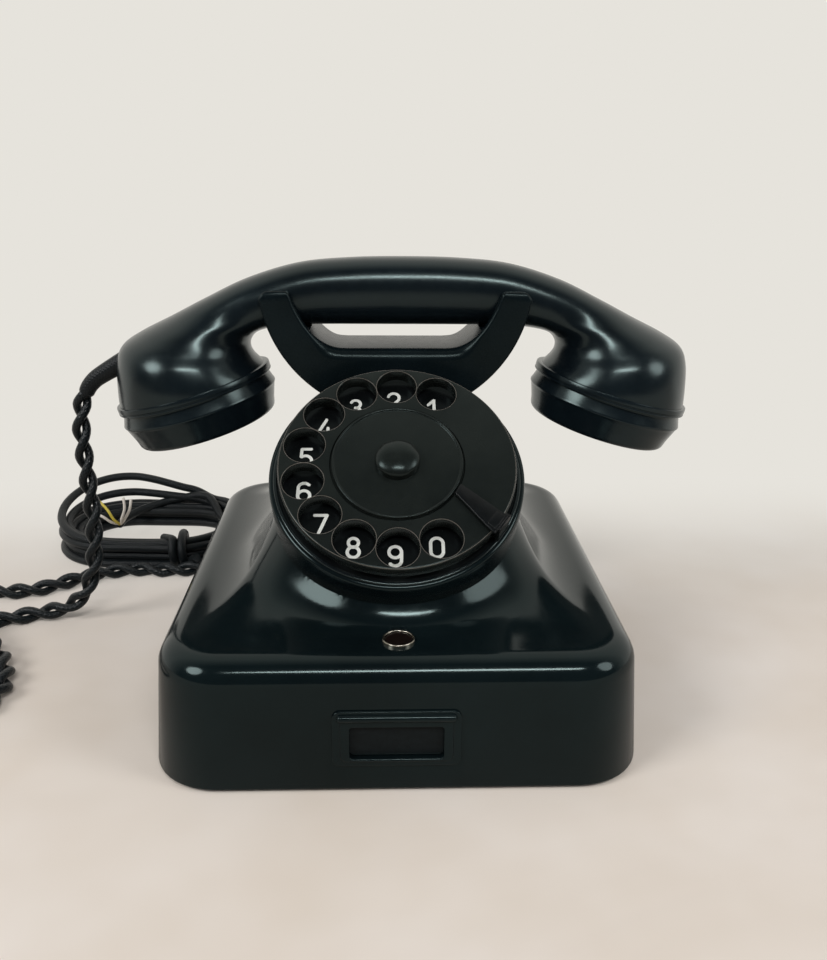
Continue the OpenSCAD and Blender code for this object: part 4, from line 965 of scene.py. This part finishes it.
# Each figure: strokes on a box of height 1; an arc is (centre x, centre y, radius, start, sweep).
figures = {
    "0": [[(0.29, 0.71, 0.29, 0, 180), (0.29, 0.29, 0.29, 180, 180), (0.58, 0.71)]],
    "1": [[(0.1, 0.7), (0.4, 1), (0.4, 0)]],
    "2": [[(0.28, 0.72, 0.28, 165, -205), (0.0, 0.0), (0.58, 0.0)]],
    "3": [[(0.27, 0.755, 0.245, 155, -235), (0.26, 0.51)], [(0.26, 0.53), (0.27, 0.265, 0.265, 85, -245)]],
    "4": [[(0.38, 1), (0.0, 0.25), (0.62, 0.25)], [(0.46, 0.5), (0.46, 0)]],
    "5": [[(0.55, 1), (0.09, 1), (0.06, 0.56), (0.28, 0.31, 0.30, 128, -278)]],
    "6": [[(0.52, 0.9), (0.29, 0.71, 0.29, 55, 110), (0.0, 0.5), (0.29, 0.29, 0.29, 180, 360)]],
    "7": [[(0.0, 1), (0.58, 1), (0.2, 0)]],
    "8": [[(0.29, 0.765, 0.235, 0, 360)], [(0.29, 0.275, 0.275, 0, 360)]],
    "9": [[(0.06, 0.1), (0.29, 0.29, 0.29, 235, 110), (0.58, 0.5), (0.29, 0.71, 0.29, 0, 360)]],
}
figureSize = {"high": 7.25, "stroke": 1.12, "ring": 32.4, "shift": (-0.9, -0.5), "middle": (0.29, 0.5),
              "low": 0.18, "top": 0.27, "stagger": 0.0004}


def strokePoints(items):
    line = []
    for item in items:
        line += arcPoints(*item, 28) if len(item) == 5 else [item]
    out = [line[0]]
    for p in line[1:]:
        if math.hypot(p[0] - out[-1][0], p[1] - out[-1][1]) > 0.01:
            out.append(p)
    return out


def makeFigures(f):
    points, faces, count, r = [], [], 0, f["stroke"] / 2
    for k, text in enumerate("1234567890"):
        a = math.radians(wheel["holes"]["Start"] + wheel["holes"]["Step"] * k)
        centre = np.array([f["ring"] * math.cos(a) + f["shift"][0], f["ring"] * math.sin(a) + f["shift"][1]])
        for items in figures[text]:
            line = [centre + (np.array(p) - f["middle"]) * f["high"] for p in strokePoints(items)]
            # each straight bit is a flat bar with round ends, a hair higher than the one before
            for p, q in zip(line[:-1], line[1:]):
                way = math.degrees(math.atan2(q[1] - p[1], q[0] - p[0]))
                count += 1
                bar = arcPoints(*q, r, way - 90, 180, 6) + arcPoints(*p, r, way + 90, 180, 6)
                start, n = len(points), len(bar)
                top = f["top"] + f["stagger"] * (count % 5)
                points += [(x, y, z) for z in (f["low"], top) for x, y in bar]
                faces.append(tuple(range(start + n, start + 2 * n)))
                faces.append(tuple(reversed(range(start, start + n))))
                faces += ringFaces(2, n, False, start)
    finished(meshObject("dial_figures", points, faces, finish["figure"], 30, atDial), "base", "bakelite")


makeFigures(figureSize)

# The finger stop: a blade that narrows from the rim to its end, a pad on it and a post under it.
# Angles in degrees, heights over the dial's seat; blade and pad are low, high, inset and rounding.
stop = {"rim": 43.2, "end": 23.6, "half": 4.2, "taper": 2.1, "angle": -37, "curl": 7,
        "blade": (7.9, 9.2, 0.0, 0.3), "pad": (8.9, 9.5, 0.9, 0.25), "padSpan": (0.04, 0.1, 0.16, 0.22),
        "postAngle": -35, "post": [(41.7, -3.6), (43.6, -3.6), (43.6, 3.6), (41.7, 3.6)],
        "postHigh": (0.5, 8.6), "postRound": 0.3}


def stopEdge(c, s, side, inset):
    # the blade's two edges, from the rim (0) to the end (1)
    r = c["rim"] + (c["end"] - c["rim"]) * s
    half = c["half"] - c["taper"] * s - inset
    a = math.radians(c["angle"] + c["curl"] * s ** 1.6) + side * half / r
    return r * math.cos(a), r * math.sin(a)


def makeStop(c):
    mat = finish["blackMetal"]
    parts = []
    for part, span in (("blade", [i / 20 for i in range(21)]), ("pad", c["padSpan"])):
        low, high, inset, rounding = c[part]
        outline = [stopEdge(c, s, -1, inset) for s in reversed(span)]
        outline += [stopEdge(c, s, 1, inset) for s in span]
        parts.append(prism(part, outline, low, high, mat))
        cleanNormals(parts[-1])
        eased(parts[-1], rounding, 30)
    parts.append(prism("post", c["post"], *c["postHigh"], mat, placed(0, 0, 0, c["postAngle"], "Z")))
    eased(parts[-1], c["postRound"], 30)
    whole = joined(parts, "finger_stop_arm")
    shadeMesh(whole.data, 32)
    finished(whole, "base", "black_enamel", "finger_stop", place=atDial)


makeStop(stop)
print("dial made")

# The handset. A row is a section across the grip: the ends of its diameter in x and z, its half
# width as a share and how square it is. Bell rows are in bell radii from the bell's middle, and
# so are the mouth's radius and height; grip rows are in millimetres from the grip's top and
# underside. The rim's steps are how far in, and z.
handset = {
    "shift": 3.5, "y": 27, "bellX": 85, "bellZ": 106, "bell": 31.3, "tilt": 16, "gripZ": 133.3,
    "gripHigh": 26.3, "grip": 27, "square": 2.3, "recess": 23.4, "recessDeep": 7, "steps": 7,
    "sides": 96, "rim": 31.9, "mouth": (0.965, 0.01),
    "rimSteps": [(0.5, -3.2), (0.15, -3.05), (0, -2.7), (0, -1.3), (0.35, -1.0), (0.35, -0.75),
                 (0, -0.45), (0, -0.15), (0.15, 0)],
    "bellRows": [(-0.97, 0.06, 0.88, 0.365, 0.985), (-0.95, 0.40, 0.785, 0.46, 0.92),
                 (-0.865, 0.61, 0.74, 0.56, 0.82), (-0.62, 0.775, 0.755, 0.67, 0.71),
                 (-0.235, 0.965, 0.845, 0.77, 0.6)],
    "gripRows": [(-79, -16.6, -53, -1.3, 0.575), (-62, -8.6, -44, -0.3, 0.53), (-42, -2.6, -33, 0, 0.5),
                 (-22, -0.5, -18, 0, 0.5)]}


def handsetRows(h):
    wide, high = h["mouth"]
    slope = wide * math.tan(math.radians(h["tilt"]))
    mouth = (-wide, high - slope, wide, high + slope, 1)
    x, z, r, top = h["bellX"], h["bellZ"], h["bell"], h["gripZ"] + h["gripHigh"]
    left = [(-x + a * r, z + b * r, -x + c * r, z + d * r, w * r, 2)
            for a, b, c, d, w in [mouth] + h["bellRows"]]
    left += [(a, top + b, c, h["gripZ"] + d, w * h["grip"], h["square"])
             for a, b, c, d, w in h["gripRows"]]
    right = [(-a, b, -c, d, w, e) for a, b, c, d, w, e in reversed(left)]
    return left + [(0, top, 0, h["gripZ"], h["grip"] / 2, h["square"])] + right


def handsetRing(row, h):
    p, q = np.array(row[0:2]), np.array(row[2:4])
    c, half, w, e = (p + q) / 2, (p - q) / 2, row[4], row[5]
    a = np.arange(h["sides"]) * 2 * math.pi / h["sides"]
    u, v = (np.sign(s) * np.abs(s) ** (2 / e) for s in (np.cos(a), np.sin(a)))
    return np.stack([h["shift"] + c[0] + half[0] * u, h["y"] - w * v, c[1] + half[1] * u], 1)


def atCap(h, side):
    return placed(h["shift"] + side * h["bellX"], h["y"], h["bellZ"], -side * (180 - h["tilt"]), "Y")


def makeHandset(h):
    mat = finish["handset"]
    body = loft("handset_shell", [handsetRing(r, h) for r in smoothLine(handsetRows(h), h["steps"])], mat)
    rim = [(0, h["rimSteps"][0][1])] + [(h["rim"] - e, z) for e, z in h["rimSteps"]] + [(0, 0)]
    for side in (-1, 1):
        cut(body, lathe("rim", rim, mat, 192, atCap(h, side)), "UNION")
    cut(body, joined([rod(h["recess"], -h["recessDeep"], 3, mat, 96, atCap(h, s)) for s in (-1, 1)], "wells"))
    cleanNormals(body)
    shadeMesh(body.data, 40)
    finished(body, "handset", "bakelite", "handset_body")
    print("handset", len(body.data.polygons), "faces")


# A screwed cap. The edge is measured out from the bell's radius, with its height: shadow gap,
# straight band and the step above it; then the cone's steps, a rounded edge, the brim, measured
# from the bell's radius and the top, and the dish: depth, how far below the brim, start and rim.
cap = {
    "high": 16, "fit": 0.05, "inside": 8.3,
    "edge": [(-0.8, 0.02), (-0.9, 0.5), (-0.8, 0.9), (0.35, 4.4), (0.6, 5.0), (0.6, 5.3), (0.48, 5.6),
             (0.2, 5.95), (0.05, 6.3)],
    "cone": (-0.486, 1.35), "round": 2.6, "roundIn": 5,
    "brim": [(-5.35, -0.02), (-5.7, -0.048), (-6.05, -0.084)], "dish": (2.05, 0.35, 7, 6.3),
    # holes: ring radius, count, hole radius
    "mouth": [(0, 1, 1.3), (5.5, 6, 1.3), (11, 12, 1.3)], "ear": [(0, 1, 1.6), (6, 6, 1.6)]}


def makeCap(h, c, which, side):
    r, high, mat = h["bell"], c["high"], finish["handset"]
    well, (x, z), (dish, below, start, rim) = h["recess"] + c["fit"], c["edge"][-1], c["dish"]
    profile = [(0, c["inside"]), (well, c["inside"]), (well, c["edge"][0][1])]
    profile += [(r + out, up) for out, up in c["edge"]]
    profile += [(r + x + c["cone"][0] * k, z + c["cone"][1] * k) for k in range(1, 5)]
    profile += arcPoints(r - c["roundIn"], high - c["round"], c["round"], 12, 78, 8)
    profile += [(r + out, high + up) for out, up in c["brim"]]
    profile += [(x, high - below - dish * (1 - (x / (r - rim)) ** 2)) for x in np.arange(r - start, 0.9, -2)]
    profile.append((0, high - below - dish))
    obj = lathe(which + "_cap_shell", profile, mat, 192)
    for ring, count, hole in c[which]:
        punchHoles(obj, mat, {"Count": count, "Sides": 28, "Rod Radius": hole, "Rod Length": 14,
                              "Ring Radius": ring, "Height": 6, "Step": 360 / count, "Start": 0})
    cleanNormals(obj)
    shadeMesh(obj.data, 30)
    finished(obj, "handset", "bakelite", which + "_cap", place=atCap(h, side))
    print(which, "cap", len(obj.data.polygons), "faces")


makeHandset(handset)
makeCap(handset, cap, "mouth", -1)
makeCap(handset, cap, "ear", 1)

# The cradle: a fork bent to a radius outside and along innerEdge inside (x and z), with a pocket
# for the grip, a trough with a wide lip, horns with rounded ends and a stem into the housing.
cradle = {
    "y": 27, "deep": 36, "radius": 52.5, "centreZ": 152, "low": 108, "top": 148, "stem": 6,
    "stemLow": 84.1, "gripZ": 133.3, "round": 1.3, "lip": 4.6, "lipEnd": (34, 10), "hornOut": 4.2,
    "hornIn": 2.2, "pocket": 29.42, "pocketTop": 186,
    "pocketFloor": [(30, -0.3), (36, -0.3), (42, -0.6), (48, -1.5), (52, -2.6), (60, -5.3)],
    "innerEdge": [(40.2, 148), (39.4, 144), (37.6, 140), (35.4, 136), (33.2, 133), (30.4, 130.2),
                  (27.2, 127.8), (23.6, 126.3), (19.5, 125.9)]}


def cradleEdges(c, n=50, across=8):
    # matched points on the fork's outer and inner edge, from the right horn's top to the left's
    top, low = (math.acos((c["centreZ"] - z) / c["radius"]) for z in (c["top"], c["low"]))
    bend = [low + (top - low) * (1 - k / n) for k in range(n + 1)]
    outer = [(c["radius"] * math.sin(a), c["centreZ"] - c["radius"] * math.cos(a)) for a in bend]
    line = smoothLine(c["innerEdge"], 12)
    at = runLengths(line)
    inner = [tuple(np.interp(at[-1] * k / n, at, line[:, j]) for j in (0, 1)) for k in range(n + 1)]
    for edge in (outer, inner):
        x0, z0 = edge[-1]
        edge += [(x0 * (1 - k / across), z0) for k in range(1, across + 1)]
    return [edge + [(-px, pz) for px, pz in reversed(edge[:-1])] for edge in (outer, inner)]


def forkRing(o, i, c, inset=0.0):
    # a bar section between the outer and the inner point, rounder along the edge of the trough
    o, i = np.array(o), np.array(i)
    level = np.clip((c["lipEnd"][0] - abs(i[0])) / c["lipEnd"][1], 0, 1)
    lip = c["round"] + (c["lip"] - c["round"]) * level * level * (3 - 2 * level)
    wide, deep = np.linalg.norm(o - i), c["deep"] / 2 - inset
    e = (o - i) / wide
    ring = []
    for sx, sy, start, r in ((1, 1, 0, c["round"]), (-1, 1, 90, lip), (-1, -1, 180, lip),
                             (1, -1, 270, c["round"])):
        r = max(r - inset, 0.1)
        for px, py in arcPoints(sx * (wide / 2 - r), sy * (deep - r), r, start, 90, 6):
            q = (o + i) / 2 + e * px
            ring.append((q[0], c["y"] + py, q[1]))
    return ring


def hornTip(outer, inner, c, a):
    # the horn's arched end: a wide round outside and a small one inside
    drawn = 1 - math.cos(a)
    ends = [(x + r * drawn * way, z - r * (1 - math.sin(a)))
            for (x, z), r, way in ((outer, c["hornOut"], -1), (inner, c["hornIn"], 1))]
    return forkRing(*ends, c, c["round"] * drawn)


def makeCradle(c):
    mat = finish["cradle"]
    outer, inner = cradleEdges(c)
    tip = [hornTip(outer[0], inner[0], c, math.radians(a)) for a in range(90, 5, -12)]
    bar = [forkRing(outer[n], inner[n], c) for n in range(5, len(outer) - 5)]
    body = loft("cradle_fork", tip + bar + [[(-x, y, z) for x, y, z in ring] for ring in reversed(tip)], mat)
    cleanNormals(body, 0)
    floor = [(x, c["gripZ"] + z) for x, z in c["pocketFloor"]]
    outline = floor + [(x, c["pocketTop"]) for x in (floor[-1][0], -floor[-1][0])]
    outline += [(-x, z) for x, z in reversed(floor)]
    pocket = prism("pocket", outline, -c["pocket"] / 2, c["pocket"] / 2, mat, placed(0, c["y"], 0, 90))
    cleanNormals(pocket, 0)
    cut(body, pocket)
    stem = rod(c["stem"], c["stemLow"], c["low"] + 2, mat, 64, placed(0, c["y"], 0))
    body = joined([body, stem], "cradle_fork_and_stem")
    shadeMesh(body.data, 35)
    finished(body, "cradle", "bakelite", "cradle")
    print("cradle", len(body.data.polygons), "faces")


makeCradle(cradle)

# The label's frame on the skirt. Plates are width, height and corner; bars are height on the face,
# radius and length.
label = {"plate": (41.5, 19.5, 2.5), "plateHigh": (-1.2, 0.95), "step": (36.3, 15.9, 2.0),
         "stepHigh": (-0.2, 1.4), "window": (30.3, 11.3, 1.0), "windowY": -1.3,
         "bars": [(7.65, 1.3, 38.5), (-7.25, 0.6, 29.6)], "barSunk": 0.1}


def makeLabel(f):
    mat = finish["shell"]
    surround = prism("label_surround", softRect(*f["plate"]), *f["plateHigh"], mat)
    step = prism("step", softRect(*f["step"]), *f["stepHigh"], mat)
    cleanNormals(surround)
    cut(surround, step, "UNION")
    cut(surround, prism("window", [(x, y + f["windowY"]) for x, y in softRect(*f["window"])], -5, 5, mat))
    eased(surround, 0.3, 40)
    parts = [surround]
    for y, r, length in f["bars"]:
        ends = arcPoints(0, -length / 2 + r, r, 270, 90, 8) + arcPoints(0, length / 2 - r, r, 0, 90, 8)
        ends[0], ends[-1] = (0, ends[0][1]), (0, ends[-1][1])
        parts.append(lathe("bar", ends, mat, 40, placed(0, y, f["stepHigh"][1] - f["barSunk"], 90, "Y")))
    whole = joined(parts, "label_frame_moulded")
    shadeMesh(whole.data, 35)
    finished(whole, "base", "bakelite", "label_frame", place=onSkirt)


makeLabel(label)
makeTurned("button_collar", atButton)
makeTurned("button_cap", atButton)
print("label frame and button made")

# Finishes of the pieces that are shown as they come.
kept = {
    "steel": ["base_plate", "base_screws", "spring_barrel", "switch_bracket", "ringer_frame",
              "gong_post_1", "gong_post_2", "dial_shaft", "hook_lever", "ear_capsule", "mouth_capsule",
              "pulse_contacts"],
    "nickel": ["gong_1", "gong_2"],
    "brass": ["button_contacts", "dial_frame", "cradle_guide", "main_gear", "pulse_cam", "governor",
              "clapper"],
    "rubber": ["foot_1", "foot_2", "foot_3", "foot_4", "handset_gland", "line_gland"],
    "card": ["label_card"], "fibre": ["terminal_block", "hook_contacts"],
    "winding": ["ringer_coil_1", "ringer_coil_2", "induction_coil"], "capacitor": ["capacitor"],
}


def dressKept(rows):
    for kind, names in rows.items():
        for name in names:
            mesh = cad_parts[name].data
            if not mesh.materials:
                mesh.materials.append(finish[kind])
            for i in range(len(mesh.materials)):
                mesh.materials[i] = finish[kind]


dressKept(kept)
print("pieces dressed")
